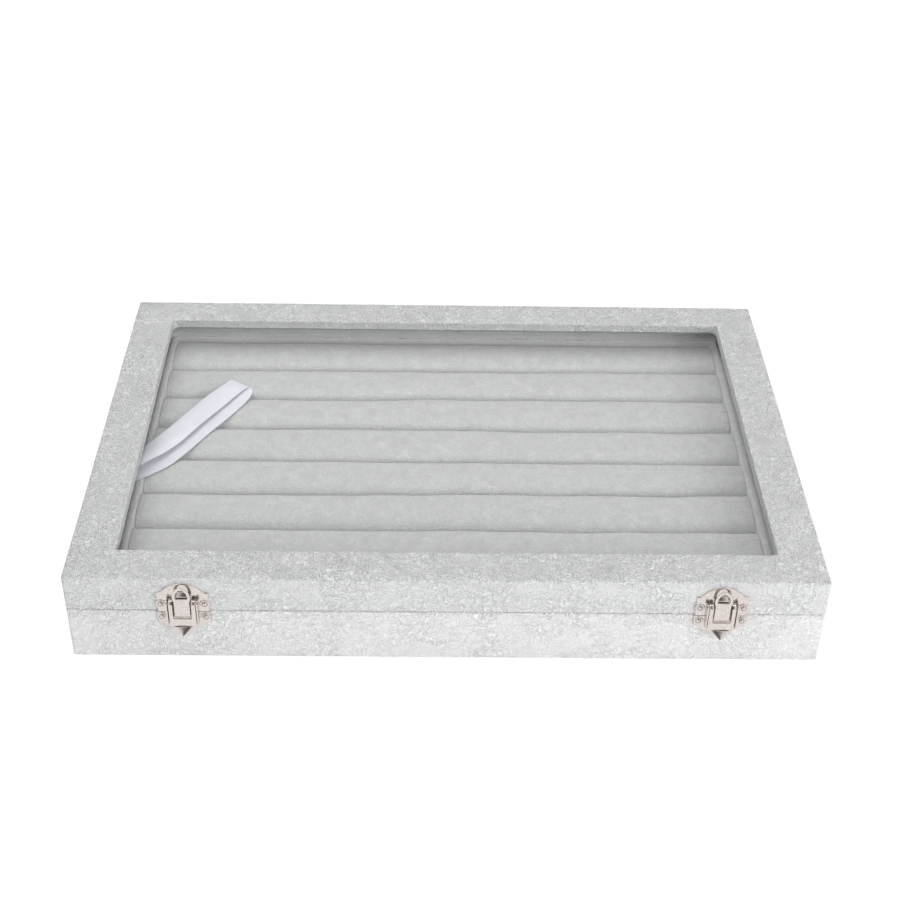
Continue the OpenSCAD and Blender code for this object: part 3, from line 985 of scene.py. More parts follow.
@dataclass
class Lid:
    """The upper half: boards, velvet wrap with its window, glass and retaining frame."""

    box: Carcass
    rim: float = 0.02895
    side_rail: float = 0.0214
    front_rail: float = 0.0202
    back_rail: float = 0.0197
    glass_top: float = 0.0436
    under_turn: float = 0.010
    turn_radius: float = 0.005
    turn_cuts: Sequence[float] = (0.0007, 0.0015, 0.0025, 0.0037)
    turned_above_glass: float = 0.0008
    lip: float = 0.0006
    lip_cuts: Sequence[float] = (0.0012, 0.002)
    bead: float = 0.0002
    bead_height: float = 0.0011
    bead_cuts: Sequence[float] = (0.25, 0.5, 0.75, 1, 1.5)
    flare: float = 0.0002
    flare_height: float = 0.0022
    flare_cuts: Sequence[float] = (0.15, 0.4, 0.7, 1)
    body: str = Body.LID.value

    @property
    def window(self) -> Opening:
        """The window's outline."""
        return Opening(self.box.width / 2 - self.side_rail, self.front_rail - self.box.depth / 2,
                       self.box.depth / 2 - self.back_rail)

    def rolled(self, point: Vector) -> Vector:
        """Makes the window's edge round.

        Args:
            point: a point of the wrap.

        Returns:
            Where it lies then.
        """
        top, lip, window = self.box.height, self.lip, self.window
        off = window.distance(point)
        if point.z > top - HAIR and off < lip:
            turn = math.radians(45) * (1 - max(0.0, off) / lip)
        elif point.z > top - lip and abs(off) < HAIR * 10:
            turn = math.radians(45) * (1 + (top - point.z) / lip)
        else:
            return point
        push = lip - lip * math.sin(turn) - max(0.0, off)
        return Vector((*window.pushed(point, push), top - lip + lip * math.cos(turn)))

    def drawn(self, point: Vector) -> Vector:
        """Draws the cloth of the window's wall round its corners.

        Args:
            point: a point of the wrap.

        Returns:
            Where it lies then.
        """
        window, radius = self.window, self.turn_radius
        if point.z > self.box.height - self.lip or abs(window.distance(point)) > HAIR * 10:
            return point
        side_x = math.copysign(1, point.x)
        side_y, edge_y = (1, window.back) if point.y > 0 else (-1, window.front)
        from_x, from_y = window.half_width - abs(point.x), abs(point.y - edge_y)
        along = max(from_x, from_y)
        bead = self.bead * max(0.0, 1 - (point.z - self.glass_top) / self.bead_height) ** 1.5
        if along > radius:
            if from_x < from_y:
                return Vector((point.x - side_x * bead, point.y, point.z))
            return Vector((point.x, point.y - side_y * bead, point.z))
        top = self.box.height - self.lip
        drop = min(1.0, (top - point.z) / (top - self.glass_top - self.turned_above_glass))
        share = drop * drop * (3 - 2 * drop)
        angle = math.radians(45) * (1 - along / radius)
        if from_x < from_y:
            angle = math.radians(90) - angle
        inset_x = from_x + (radius * (1 - math.sin(angle)) - from_x) * share + bead * math.sin(angle)
        inset_y = from_y + (radius * (1 - math.cos(angle)) - from_y) * share + bead * math.cos(angle)
        return Vector((side_x * (window.half_width - inset_x), edge_y - side_y * inset_y, point.z))

    def flared(self, point: Vector) -> Vector:
        """Lets the cloth of the sides stand off a little above the rim.

        Args:
            point: a point of the wrap.

        Returns:
            Where it lies then.
        """
        share = (point.z - self.rim) / (self.flare_height + self.box.soft_edge)
        if share > 1 or self.box.outline.distance(point) < -self.box.corner - HAIR:
            return point
        push = self.flare * math.sin(math.pi * math.sqrt(max(0.0, share)))
        for axis, half in enumerate((self.box.width / 2, self.box.depth / 2)):
            if abs(point[axis]) > half - self.box.corner - HAIR:
                point[axis] += math.copysign(push, point[axis])
        return point

    def wrap(self) -> None:
        """The velvet over the top and the sides, turned in at the window and the rim."""
        box, window, turn = self.box, self.window, self.under_turn
        piece = box.shell("lid_velvet", self.rim, box.height, (self.rim, box.height))
        box.open_up(piece, self.rim, box.inside)
        box.turn_in(piece, self.rim, box.inside, box.velvet)
        box.open_up(piece, box.height, window)
        box.turn_in(piece, box.height, window, self.glass_top - box.height)
        with Bench.editing(piece, Element.EDGE, window.edges_at(self.glass_top)):
            bpy.ops.mesh.extrude_region_move()
            bpy.ops.transform.resize(
                value=(1 + turn / window.half_width, 1 + 2 * turn / (window.back - window.front), 1),
                center_override=(0, (window.front + window.back) / 2, self.glass_top))
        out = (self.lip / 3, 2 * self.lip / 3, self.lip)
        near = (*out, *(-n for n in (*self.turn_cuts, self.turn_radius)))
        Bench.slice(piece, Axis.X, [s * (window.half_width + n) for s in BOTH for n in near])
        Bench.slice(piece, Axis.Y, [*(window.front - n for n in near), *(window.back + n for n in near)])
        Bench.slice(piece, Axis.Z, [box.height - n for n in (*out, *self.lip_cuts)])
        Bench.slice(piece, Axis.Z, [self.glass_top + self.bead_height * n for n in self.bead_cuts])
        flare_foot = self.rim + box.soft_edge
        Bench.slice(piece, Axis.Z, [flare_foot + self.flare_height * n for n in self.flare_cuts])
        for move in (self.drawn, self.rolled, self.flared):
            Bench.shape(piece, move)
        box.cloth(piece, self.rim, box.height, seed=8.4)
        dress(piece, Stock.OUTER, self.body, "lid_velvet_wrap")

    def build(self) -> None:
        """Makes the lid's pieces."""
        self.wrap()
        dress_nodes(Stock.BOARD, *(f"lid_{side}_wall" for side in WALLS), "lid_top_frame")
        dress_nodes(Stock.LINING, "lid_lining")
        # The retaining frame takes the darker velvet: painted shade for its place under the rails.
        dress_nodes(Stock.SHADED, "glass_retaining_frame")
        dress_nodes(Stock.GLASS, "glass_pane")


@dataclass
class RollTray:
    """The foam rolls that hold the rings, between two end strips."""

    box: Carcass
    count: int = 8
    length: float = 0.3070
    gap: float = 0.0004
    foot: float = 0.005
    crest: float = 0.0278
    squareness: float = 0.71
    round_share: float = 0.998
    round_steps: int = 18
    end_edge: float = 0.0005
    net: float = 0.004
    seam_cuts: Pair = (0.0085, 0.0115)
    wander: float = 0.0022
    strip_width: float = 0.0134
    strip_top: float = 0.02845
    play: float = 0.0003
    strip_edge: float = 0.0016
    strip_net: float = 0.005
    strip_cuts: Sequence[float] = (0.15, 0.3, 0.45, 0.6, 0.72)
    strip_falls: Pair = (0.010, 0.001)
    sag: float = 0.0004
    sag_size: float = 0.045
    crease_size: float = 0.011
    body: str = Body.BASE.value

    @property
    def pitch(self) -> float:
        """Distance from roll to roll."""
        return self.box.inner_depth / self.count

    def first_roll(self) -> Piece:
        """The roll that the others are copied from, at y = 0.

        Returns:
            The new object.
        """
        half = (self.pitch - self.gap) / 2
        piece = Bench.block("ring_roll", (-self.length / 2, -half, self.foot),
                            (self.length / 2, half, self.crest))
        Bench.round_edges(piece, lambda a, b: min(a.z, b.z) > self.crest - HAIR and abs(a.x - b.x) > half,
                          self.round_share * half, self.round_steps, profile=self.squareness)
        Bench.ease(piece, self.end_edge, 2, 60)
        Bench.slice(piece, Axis.X, Bench.steps(-self.length / 2, self.length / 2, self.net))
        Bench.slice(piece, Axis.Z, self.seam_cuts)
        Bench.outward(piece)
        return piece

    def rolls(self) -> None:
        """Copies the first roll into its places, each with its own unevenness."""
        first = self.first_roll()
        for number in range(1, self.count + 1):
            piece = first.copy()
            piece.data = first.data.copy()
            piece.name = piece.data.name = f"ring_roll_{number}"
            bpy.context.scene.collection.objects.link(piece)
            y = -self.box.inner_depth / 2 + self.pitch * (number - 0.5)
            Bench.shape(piece, lambda v: self.wandered(Vector((v.x, v.y + y, v.z)), number))
            Bench.ruffle(piece, self.sag, self.sag_size, 3.7 * number)
            Bench.ruffle(piece, 0.3 * self.sag, self.crease_size, 1.9 * number)
            Bench.smooth(piece, 60)
            dress(piece, Stock.ROLL, self.body, f"roll_cover_{number}")
            dress_nodes(Stock.FOAM, f"roll_core_{number}")
        bpy.data.objects.remove(first)

    def wandered(self, point: Vector, number: int) -> Vector:
        """Lets the seams on both sides of a roll wander a little, as its neighbours press on it.

        Args:
            point: a point of the roll.
            number: which roll.

        Returns:
            Where the point lies then.
        """
        middle = -self.box.inner_depth / 2 + self.pitch * (number - 0.5)
        across = (point.y - middle) / self.pitch
        drift = 0.0
        for seam, share in ((number - 1, 0.5 - across), (number, 0.5 + across)):
            if 0 < seam < self.count:
                sway = noise.noise(Vector((point.x * 9, 4.7 * seam, 0.3)))
                ripple = noise.noise(Vector((point.x * 40, 1.9 * seam, 7.1)))
                drift += share * self.wander * (sway + 0.35 * ripple)
        return Vector((point.x, point.y + drift, point.z))

    def end_strip(self, side: Side) -> None:
        """The soft strip between the rolls' ends and the side board.

        Args:
            side: the box's side.
        """
        outer = side.value * self.box.inner_width / 2
        inward = -side.value * self.strip_width
        inner = outer + inward
        y = self.box.inner_depth / 2 - self.play
        piece = Bench.block(f"{side.word}_end_strip", (min(outer, inner), -y, self.foot),
                            (max(outer, inner), y, self.strip_top))
        Bench.round_edges(piece, lambda a, b: min(a.z, b.z) > self.strip_top - HAIR and abs(a.y - b.y) > y,
                          self.strip_edge)
        Bench.slice(piece, Axis.Y, Bench.steps(-y, y, self.strip_net))
        Bench.slice(piece, Axis.X, [outer + inward * share for share in self.strip_cuts])
        Bench.outward(piece)
        fall = self.strip_falls[0 if side is Side.LEFT else 1]

        def slump(v: Vector) -> Point:
            """Lets the strip fall off towards the side board."""
            share = min(1.0, max(0.0, (abs(v.x) - abs(inner)) / self.strip_width - 0.2) / 0.7)
            return (v.x, v.y, v.z - fall * share ** 1.5 if v.z > 0.5 * self.strip_top else v.z)

        Bench.shape(piece, slump)
        Bench.ruffle(piece, 0.6 * self.sag, 0.03, 21.0 + side.value)
        Bench.smooth(piece, 50)
        dress(piece, Stock.ROLL, self.body, f"end_strip_{side.word}")

    def build(self) -> None:
        """Makes the tray's pieces."""
        self.rolls()
        for side in Side:
            self.end_strip(side)


# ---- Fittings ----


def arc(centre: Pair, radius: float, start: float, end: float, count: int) -> list[Pair]:
    """Points on an arc, from one angle to another in degrees."""
    turns = [math.radians(start + (end - start) * i / count) for i in range(count + 1)]
    return [(centre[0] + radius * math.cos(turn), centre[1] + radius * math.sin(turn)) for turn in turns]


def plated(parts: Sequence[Piece], name: str, body: str, node: str, angle: float = 35.0) -> None:
    """Makes one nickel piece of its parts.

    Args:
        parts: the objects that it is joined from.
        name: the piece's name.
        body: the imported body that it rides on.
        node: the node that it replaces.
        angle: the sharpest edge that is shaded smooth, in degrees.
    """
    piece = Bench.join(parts)
    piece.name = piece.data.name = name
    Bench.smooth(piece, angle)
    dress(piece, Stock.NICKEL, body, node)


def nail_head(place: Point, outward: float, radius: float, height: float) -> Piece:
    """A domed nail head.

    Args:
        place: the middle of its underside.
        outward: the sign of Y that it points to.
        radius: the head's radius.
        height: the head's height.

    Returns:
        The new object.
    """
    ball = (radius ** 2 + height ** 2) / (2 * height)
    Bench.take()
    bpy.ops.mesh.primitive_uv_sphere_add(
        segments=24, ring_count=24, radius=ball, rotation=(math.radians(90), 0, 0),
        location=(place[0], place[1] + outward * (height - ball), place[2]))
    piece = Bench.adopt("head")
    with Bench.editing(piece):
        bpy.ops.mesh.bisect(plane_co=place, plane_no=(0, outward, 0), use_fill=True, clear_inner=True,
                            threshold=HAIR)
    Bench.outward(piece)
    return piece


def nail_rim(place: Point, radius: float, wire: float) -> Piece:
    """A raised ring, pressed flat, around a nail; it lies across Y.

    Args:
        place: its middle.
        radius: its radius.
        wire: its thickness from its middle line.

    Returns:
        The new object.
    """
    Bench.take()
    bpy.ops.mesh.primitive_torus_add(
        location=place, rotation=(math.radians(90), 0, 0), major_radius=radius, minor_radius=wire,
        major_segments=28, minor_segments=10)
    piece = Bench.adopt("rim")
    Bench.shape(piece, lambda v: (v.x, place[1] + (v.y - place[1]) * 0.9, v.z))
    return piece


@dataclass
class ToggleLatch:
    """One toggle latch; points in its own frame are across, out from the front face and up from the seam."""

    side: Side
    x: float
    front: float = -0.120
    seam: float = 0.0288
    sheet: float = 0.0008
    half_width: float = 0.0122
    nail_x: float = 0.010
    upper_nail: float = 0.0049
    lower_nail: float = -0.0029
    rim_radius: float = 0.00185
    rim_wire: float = 0.0005
    crown: float = 0.0167
    shoulder_x: float = 0.009
    shoulder_drop: float = 0.0045
    pivot: Pair = (0.0031, 0.0069)
    link_pin: Pair = (0.00255, -0.0003)
    ear_sheet: float = 0.0007
    ear_gap: float = 0.0002
    rivet_radius: float = 0.00055
    rivet_head: Pair = (0.001, 0.0004)
    lever_half: float = 0.00635
    lever_front: float = 0.0044
    lever_back: float = 0.0012
    lever_sheet: float = 0.0007
    lever_foot: float = -0.0062
    lever_top: float = 0.0084
    lever_bend: float = 0.0007
    shoulder_bend: float = 0.0024
    window_half: float = 0.0043
    window_foot: float = -0.0016
    window_corner: float = 0.0009
    beak_half: float = 0.0054
    beak_length: float = 0.0041
    parting: float = 0.00015
    link_top: float = 0.0165
    link_half: float = 0.00365
    link_roll: float = 0.00115

    def spot(self, x: float, depth: float, height: float) -> Point:
        """A point from the latch's own frame."""
        return (self.x + x, self.front - depth, self.seam + height)

    def outline(self, right: Outline) -> Outline:
        """A closed outline in its place, from its right half, listed from the bottom up."""
        both = list(right) + [(-x, z) for x, z in reversed(right) if x > HAIR]
        return [(self.x + x, self.seam + z) for x, z in both]

    def arch(self, foot: float, half: float, top: float, count: int) -> Outline:
        """The right half of a round arch, from its foot up to its top."""
        return [(half * x, foot + (top - foot) * z) for x, z in arc((0, 0), 1.0, 0, 90, count)]

    def bar(self, radius: float, ends: Pair, place: Pair, *form: float) -> Piece:
        """A rod across the latch at a depth and height; form is its sides, edge and steps."""
        return Bench.rod("bar", radius, self.spot(ends[0], *place), self.spot(ends[1], *place), *form)

    def finish(self, parts: Sequence[Piece], name: str, body: str, node: str, angle: float = 35.0) -> None:
        """Makes one plated piece of its parts, with the latch's side in its names."""
        word = self.side.word
        plated(parts, f"{name}_{word}", body, f"{node}_{word}", angle)

    def stamped(self, right: Outline, rounding: float, nail: float) -> list[Piece]:
        """A plate with its front outline rounded, but not where the plates meet, and the rims of its nails.

        Args:
            right: the right half of its outline.
            rounding: how far its front edge is rounded.
            nail: its nails' height.

        Returns:
            The plate and the two rims.
        """
        plate = Bench.plate("plate", self.outline(right), self.front, self.sheet)
        face = self.front - self.sheet
        Bench.round_edges(plate, lambda a, b: max(abs(a.y - face), abs(b.y - face)) < HAIR
                          and max(abs(a.z - self.seam), abs(b.z - self.seam)) > 2 * self.parting,
                          rounding, clamp_overlap=True)
        rims = (nail_rim(self.spot(s * self.nail_x, self.sheet, nail), self.rim_radius, self.rim_wire)
                for s in BOTH)
        return [plate, *rims]

    def stood(self, profile: Outline, width: float, start: float, sign: int) -> Piece:
        """A thick plate cut across X from a profile in depth and height.

        Args:
            profile: its corners.
            width: how wide it is.
            start: X of its first side.
            sign: the side of X that it grows to.

        Returns:
            The new object.
        """
        piece = Bench.plate("web", profile, 0.0, width)
        Bench.shape(piece, lambda v: (self.x + sign * (start - v.y), self.front - v.x, self.seam + v.z))
        Bench.outward(piece)
        return piece

    def catch_plate(self) -> None:
        """The lid's plate: a round crown between two curled ears, with its catch."""
        half, drop = self.half_width, self.shoulder_drop
        shoulder = self.crown - drop
        radius = (self.shoulder_x ** 2 + drop ** 2) / (2 * drop)
        rise = math.degrees(math.asin((radius - drop) / radius))
        plate, *rims = self.stamped(
            [(half - 0.0003, self.parting), (half - 0.0003, shoulder - 0.0038),
             *arc((half - 0.0007, shoulder - 0.0017), 0.0007, -30, 100, 5),
             (self.shoulder_x + 0.0014, shoulder - 0.0009),
             *arc((0, self.crown - radius), radius, rise, 90, 10)], 0.0006, self.upper_nail)
        top = self.link_top - 0.0043
        hook = self.stood([(0.0004, top - 0.0036), (0.0010, top - 0.0034), (0.0026, top - 0.0023),
                           (0.0026, top - 0.0019), (0.0015, top), (0.0004, top)], 0.0048, -0.0024, 1)
        Bench.ease(hook, 0.00025, 3, 30)
        self.finish([plate, hook, *rims], "latch_catch", Body.LID.value, "latch_catch_plate")

    def base_plate(self) -> None:
        """The base's plate with the two upturned ears that carry the lever."""
        half = self.half_width
        plate, *rims = self.stamped(
            [(0.0066, -0.0097), (0.0076, -0.0091), (half - 0.0006, -0.0059), (half, -0.0049), (half, -0.0005),
             (half - 0.0004, -self.parting)], 0.0004, self.lower_nail)
        self.finish([plate, *(self.ear(sign) for sign in BOTH), *rims], "latch_base", Body.BASE.value,
                    "latch_base_plate")

    def ear(self, sign: int) -> Piece:
        """One upturned ear of the base plate.

        Args:
            sign: the side of X that it stands on.

        Returns:
            The new object.
        """
        front, top = self.lever_front + 0.0002, self.pivot[1]
        profile = [(0.0006, -0.0052), (front - 0.001, -0.0052), (front - 0.0003, -0.0049), (front, -0.0042),
                   (front, top), *arc(self.pivot, 0.0019, 38, 180, 8), (0.0012, 0.0), (0.0008, -0.0007),
                   (0.0006, -0.0007)]
        ear = self.stood(profile, self.ear_sheet, self.lever_half + self.ear_gap, sign)
        Bench.ease(ear, 0.00016, 2, 40)
        return ear

    def rivets(self) -> None:
        """The two rivets that the lever turns on."""
        inner, outer = self.lever_half - self.lever_sheet, self.lever_half + 0.00095
        radius, height = self.rivet_head
        made = []
        for s in BOTH:
            made += [self.bar(self.rivet_radius, (s * inner, s * outer), self.pivot, 20),
                     self.bar(radius, (s * outer, s * (outer + height)), self.pivot, 24, 0.0002, 3)]
        self.finish(made, "latch_rivets", Body.BASE.value, "latch_pivot_rivets", 40)

    def lever(self) -> None:
        """The lever, bent from one sheet with a window, and its turned-out beak; and the pin of the link."""
        half, back = self.lever_half, self.lever_back
        low = self.spot(-half, self.lever_front, self.lever_foot)
        high = self.spot(half, back, self.lever_top)
        piece = Bench.block("lever", low, high)
        Bench.drop_faces(piece, lambda c, n: n.y > 0.9 or n.z < -0.9)
        Bench.round_edges(piece, lambda a, b: max(a.y, b.y) < low[1] + HAIR
                          and min(a.z, b.z) > high[2] - HAIR, self.shoulder_bend, 8)
        Bench.round_edges(piece, lambda a, b: min(abs(a.x - self.x), abs(b.x - self.x)) > half - HAIR
                          and (a.x - self.x) * (b.x - self.x) > 0 and min(a.y, b.y) < high[1] - HAIR
                          and max(a.z, b.z) > low[2] + HAIR, self.lever_bend)
        Bench.outward(piece)
        Bench.modify(piece, "SOLIDIFY", thickness=self.lever_sheet, offset=-1.0, use_even_offset=True)
        window = Bench.block("window", self.spot(-self.window_half, 0.02, self.window_foot),
                             self.spot(self.window_half, -0.001, 0.02))
        Bench.round_edges(window, lambda a, b: abs(a.y - b.y) > 0.001 and max(a.z, b.z) < self.seam,
                          self.window_corner)
        Bench.cut(piece, window)
        Bench.outward(piece)
        Bench.ease(piece, 0.00022, 3, 50)
        body = f"latch_lever_{self.side.word}"
        self.finish([piece, self.beak()], "lever", body, "latch_lever", 40)
        self.finish([self.bar(0.0005, (-half, half), self.link_pin, 20, 0.00012)], "lever_pin", body,
                    "latch_link_pin", 40)

    def beak(self) -> Piece:
        """The spoon-shaped tip that a finger lifts.

        Returns:
            The new object.
        """
        Bench.take()
        bpy.ops.mesh.primitive_grid_add(x_subdivisions=16, y_subdivisions=12, size=2.0)
        piece, length = Bench.adopt("beak"), self.beak_length

        def bend(v: Vector) -> Point:
            """Lays the flat grid on the spoon.

            Args:
                v: a point of the grid.

            Returns:
                Its place on the spoon.
            """
            down = (1 - v.y) / 2
            width = self.beak_half * max(0.0, 1 - down) ** 0.66 + 0.0005 * down
            turn = math.radians(20 + 12 * down)
            depth = self.lever_front - 0.0001 + length * down * math.sin(turn)
            belly = 0.0010 * (1 - v.x ** 2) * math.sin(math.pi * (0.2 + 0.5 * down))
            height = self.lever_foot + 0.0002 - length * down * math.cos(turn)
            return self.spot(v.x * width, depth + belly, height)

        Bench.shape(piece, bend)
        Bench.outward(piece)
        if sum(face.normal.y for face in piece.data.polygons) > 0:
            piece.data.flip_normals()
        Bench.modify(piece, "SOLIDIFY", thickness=self.lever_sheet, offset=-1.0, use_even_offset=True)
        Bench.outward(piece)
        return piece

    def link(self) -> None:
        """The link: a plate that widens into a round-topped loop, rolled round its pin below."""
        half, depth = self.link_half, self.link_pin[0]
        rim = self.outline([(half, -0.0003), (half, 0.0081), (0.0039, 0.0088), (0.0041, 0.0094),
                            *self.arch(0.0102, 0.0042, self.link_top, 9)])
        hole = self.outline([(0.0025, 0.0097), *self.arch(0.0102, 0.0028, self.link_top - 0.0014, 8)])
        plate = Bench.plate("link", rim, self.front - depth - self.link_roll + self.sheet, self.sheet)
        Bench.cut(plate, Bench.plate("hole", hole, self.front, 0.01))
        Bench.outward(plate)
        Bench.ease(plate, 0.00026, 3, 35)
        roll = self.bar(self.link_roll, (-half, half), self.link_pin, 32, 0.00014)
        self.finish([plate, roll], "link", f"latch_link_{self.side.word}", "latch_link")

    def build(self) -> None:
        """Makes the latch's pieces."""
        self.catch_plate()
        self.base_plate()
        self.rivets()
        self.lever()
        self.link()


@dataclass
class LatchNails:
    """The nails of both latches, four in the lid and four in the base."""

    latches: Sequence[ToggleLatch]
    radius: float = 0.00125
    height: float = 0.00105

    def build(self) -> None:
        """Makes both rows."""
        for body, level in ((Body.LID, self.latches[0].upper_nail), (Body.BASE, self.latches[0].lower_nail)):
            plated([nail_head(latch.spot(s * latch.nail_x, latch.sheet, level), -1, self.radius, self.height)
                    for latch in self.latches for s in BOTH],
                   f"{body.value}_latch_nails", body.value, f"latch_{body.value}_nails", 45)


@dataclass
class Hinges:
    """The two butt hinges at the back."""

    box: Carcass
    offset: float = 0.105
    width: float = 0.026
    leaf: float = 0.013
    sheet: float = 0.0008
    seam: float = 0.0288
    knuckle: float = 0.0019
    standoff: float = 0.00025
    gap: float = 0.0003
    corner: float = 0.0018
    nail_x: float = 0.008
    nail_z: float = 0.00785
    nail_radius: float = 0.0014
    nail_height: float = 0.0008
    rim_radius: float = 0.00175
    rim_wire: float = 0.00028
    pin_radius: float = 0.0008
    pin_head: Pair = (0.0012, 0.0008)

    @property
    def back(self) -> float:
        """Y of the box's back face."""
        return self.box.depth / 2

    def slab(self, name: str, ends: Pair, up: int, levels: Pair) -> Piece:
        """A flat piece of leaf between two X, on the box's back, at two distances from the seam."""
        low, high = sorted(self.seam + up * level for level in levels)
        return Bench.block(name, (ends[0], self.back, low), (ends[1], self.back + self.sheet, high))

    def bar(self, radius: float, ends: Pair, *form: float) -> Piece:
        """A rod on the line of the pins between two X; form is its sides, edge and steps."""
        line = (self.back + self.standoff + self.knuckle, self.seam)
        return Bench.rod("bar", radius, (ends[0], *line), (ends[1], *line), *form)

    def nail_spot(self, side: Side, s: int, up: int) -> Point:
        """The middle of a nail on a leaf's face."""
        return (side.value * self.offset + s * self.nail_x, self.back + self.sheet,
                self.seam + up * self.nail_z)

    def half(self, side: Side, up: int, body: Body) -> None:
        """A leaf with its knuckles.

        Args:
            side: the hinge.
            up: 1 on the lid and -1 on the base.
            body: the body that it rides on.
        """
        x, start = side.value * self.offset, 0.0008 + self.knuckle
        leaf = self.slab("leaf", (x - self.width / 2, x + self.width / 2), up, (start, self.leaf))
        Bench.round_edges(leaf, lambda a, b: abs(a.y - b.y) > 0.0005
                          and abs(a.z - self.seam) > self.leaf - HAIR * 10, self.corner, 5)
        Bench.ease(leaf, 0.0002, 2, 40)
        third = (self.width - 2 * self.gap) / 3
        parts = [leaf]
        for step in ((0,) if up > 0 else BOTH):
            middle = x + step * (third + self.gap)
            ends = (middle - third / 2, middle + third / 2)
            web = self.slab("web", ends, up, (0.0004, start + 0.0004))
            Bench.ease(web, 0.00015, 2, 50)
            parts += [self.bar(self.knuckle, ends, 32, 0.0002), web]
        rims = [nail_rim(self.nail_spot(side, s, up), self.rim_radius, self.rim_wire) for s in BOTH]
        plated([*parts, *rims], f"hinge_{body.value}_leaf_piece_{side.word}", body.value,
               f"hinge_{body.value}_leaf_{side.word}")

    def pin(self, side: Side) -> None:
        """The pin with its two peened heads.

        Args:
            side: the hinge.
        """
        x, reach = side.value * self.offset, self.width / 2 + 0.00005
        radius, height = self.pin_head
        heads = [self.bar(radius, (x + s * reach, x + s * (reach + height)), 24, 0.0003, 3) for s in BOTH]
        shaft = self.bar(self.pin_radius, (x - reach, x + reach), 20)
        plated([shaft, *heads], f"hinge_pin_piece_{side.word}", Body.BASE.value, f"hinge_pin_{side.word}", 40)

    def build(self) -> None:
        """Makes the hinges' pieces."""
        for side in Side:
            self.half(side, 1, Body.LID)
            self.half(side, -1, Body.BASE)
            self.pin(side)
        for up, body in ((1, Body.LID), (-1, Body.BASE)):
            plated([nail_head(self.nail_spot(side, s, up), 1, self.nail_radius, self.nail_height)
                    for side in Side for s in BOTH],
                   f"{body.value}_hinge_nails", body.value, f"hinge_{body.value}_nails", 45)


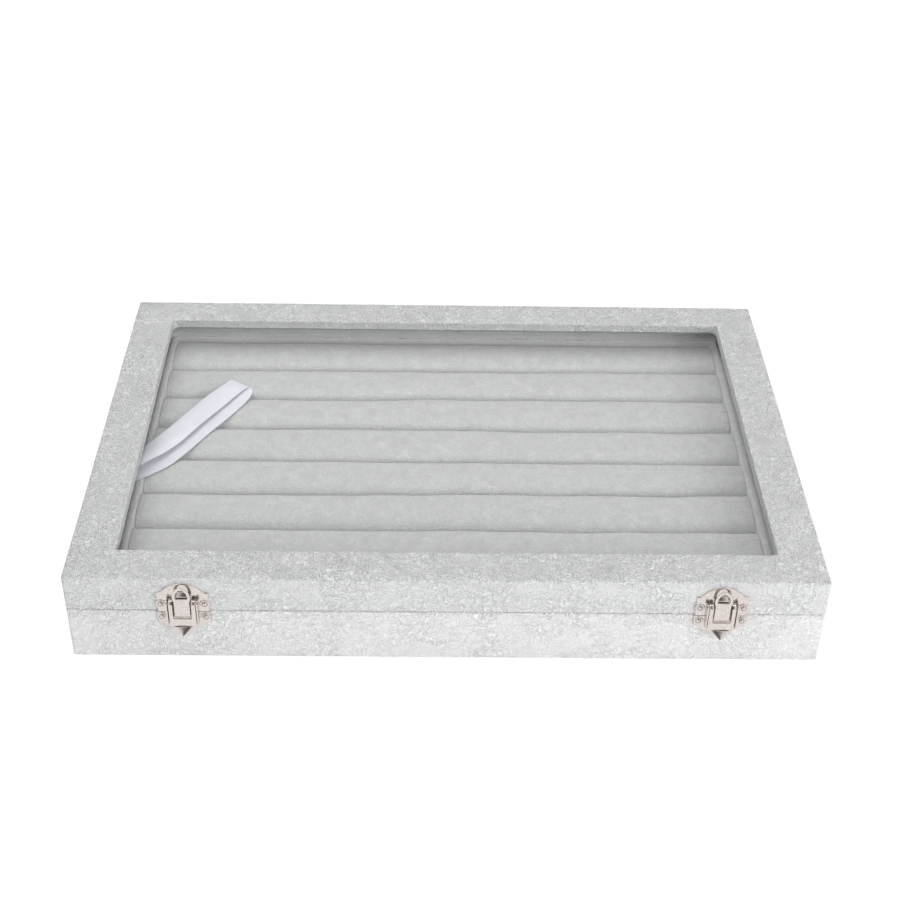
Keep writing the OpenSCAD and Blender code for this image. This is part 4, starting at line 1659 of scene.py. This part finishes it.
@dataclass
class StayRibbon:
    """The satin ribbon that stays the lid, folded once over the rolls."""

    width: float = 0.015
    thick: float = 0.0002
    bow: float = 0.0006
    curl: float = 0.0004
    across: int = 10
    finer: int = 6
    edges: Sequence[tuple[Point, Point]] = (
        ((-166.8, -14.0, 28.82), (-166.8, -30.5, 28.82)), ((-163.6, -10.9, 28.84), (-158.4, -25.1, 28.84)),
        ((-159.8, -7.3, 28.86), (-150.3, -19.1, 28.86)), ((-153.0, -1.2, 28.89), (-141.8, -11.2, 28.89)),
        ((-146.0, 10.1, 28.93), (-133.3, 2.1, 28.93)), ((-138.6, 23.4, 29), (-125.8, 15.5, 29)),
        ((-129.4, 39.0, 29.1), (-116.1, 31.4, 29.1)), ((-122.6, 52.2, 29.25), (-108.9, 44.4, 29.25)),
        ((-118.8, 60.7, 29.5), (-106.5, 50.3, 29.5)), ((-117.3, 64.3, 29.95), (-105.7, 54.7, 29.95)),
        ((-117.3, 64.9, 30.4), (-106.6, 57.1, 30.4)), ((-117.9, 64.6, 30.85), (-108.3, 57.1, 30.85)),
        ((-119.3, 62.5, 31.1), (-110.4, 54.8, 31.1)), ((-122.6, 57.6, 31.2), (-113.4, 49.9, 31.2)),
        ((-130.5, 46.0, 31.3), (-119.0, 40.0, 31.3)), ((-140.1, 28.6, 31.45), (-128.0, 24.4, 31.45)),
        ((-150.6, 9.5, 31.75), (-137.8, 6.2, 31.75)), ((-157.5, -1.3, 32.2), (-144.3, -3.7, 32.2)),
        ((-162.8, -9.3, 33.8), (-151.6, -13.5, 33.8)), ((-166.2, -15.2, 35.9), (-158.9, -24.7, 35.9)),
        ((-166.7, -16.8, 37.7), (-164.5, -36.1, 37.7)), ((-166.7, -17.4, 38.8), (-166.7, -41.0, 38.5)))

    def smoothed(self, points: Sequence[Point]) -> list[Vector]:
        """Draws a smooth line through points.

        Args:
            points: the points, in millimetres.

        Returns:
            The line's own points, in metres.
        """
        knots = [Vector(p) / 1000 for p in points]
        line = []
        for i in range(len(knots) - 1):
            a, b = knots[i], knots[i + 1]
            before, after = knots[max(0, i - 1)], knots[min(len(knots) - 1, i + 2)]
            for step in range(self.finer):
                t = step / self.finer
                line.append(0.5 * (2 * a + (b - before) * t + (2 * before - 5 * a + 4 * b - after) * t * t
                                   + (3 * a - before - 3 * b + after) * t ** 3))
        return line + [knots[-1]]

    def flat(self, lengths: Sequence[float]) -> Piece:
        """The ribbon laid out flat along Y, with its thickness and its own UV map in metres.

        Args:
            lengths: how far along the ribbon each row lies.

        Returns:
            The new object.
        """
        rows = len(lengths)
        Bench.take()
        bpy.ops.mesh.primitive_grid_add(x_subdivisions=self.across, y_subdivisions=rows - 1, size=2.0)
        piece = Bench.adopt("folded_stay_ribbon")
        Bench.shape(piece, lambda v: (v.x * self.width / 2, lengths[round((v.y + 1) / 2 * (rows - 1))], 0.0))
        chart = piece.data.uv_layers.active or piece.data.uv_layers.new(name="UVMap")
        for loop in piece.data.loops:
            chart.data[loop.index].uv = piece.data.vertices[loop.vertex_index].co.xy
        Bench.modify(piece, "SOLIDIFY", thickness=self.thick, offset=0.0)
        return piece

    def fold(self, piece: Piece, lengths: Sequence[float], left: Sequence[Vector],
             right: Sequence[Vector]) -> None:
        """Lays the flat ribbon between the two lines of its edges.

        Args:
            piece: the flat ribbon.
            lengths: how far along the ribbon each row lies.
            left: the left edge, row by row.
            right: the right edge, row by row.
        """
        last = len(lengths) - 1
        middle = [(a + b) / 2 for a, b in zip(left, right)]
        for vertex in piece.data.vertices:
            row = min(range(last + 1), key=lambda k: abs(lengths[k] - vertex.co.y))
            share = vertex.co.x / self.width + 0.5
            along = middle[min(last, row + 1)] - middle[max(0, row - 1)]
            normal = (right[row] - left[row]).cross(along).normalized()
            upper = min(1.0, max(0.0, (row / (last + 1) - 0.5) * 4))
            crown = self.bow * upper * 4 * share * (1 - share)
            curl = self.curl * noise.noise(Vector((share * 1.5, lengths[row] * 55, 2.2))) * upper
            place = left[row].lerp(right[row], share) + normal * vertex.co.z
            vertex.co = place + Vector((0, 0, crown + curl))

    def build(self) -> None:
        """Makes the ribbon; its UV map is set while it lies flat, before it is folded."""
        left = self.smoothed([pair[0] for pair in self.edges])
        right = self.smoothed([pair[1] for pair in self.edges])
        lengths = [0.0]
        for i in range(len(left) - 1):
            lengths.append(lengths[-1] + ((left[i + 1] + right[i + 1]) / 2 - (left[i] + right[i]) / 2).length)
        piece, length = self.flat(lengths), lengths[-1]
        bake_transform(piece)
        self.fold(piece, lengths, left, right)
        Bench.smooth(piece, 60)
        coat(piece, Stock.SATIN)
        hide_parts("stay_ribbon")
        LOG.info("%s: %d faces, %.1f mm long", piece.name, len(piece.data.polygons), 1000 * length)


def main() -> None:
    """Builds the studio and the box, one sub-assembly after another."""
    logging.basicConfig(level=logging.INFO, format="%(name)s: %(message)s")
    Studio().build()
    box = Carcass()
    Base(box).build()
    RollTray(box).build()
    StayRibbon().build()
    Lid(box).build()
    latches = [ToggleLatch(Side.LEFT, -0.121), ToggleLatch(Side.RIGHT, 0.126)]
    for latch in latches:
        latch.build()
    LatchNails(latches).build()
    Hinges(box).build()


if __name__ == "__main__":
    main()
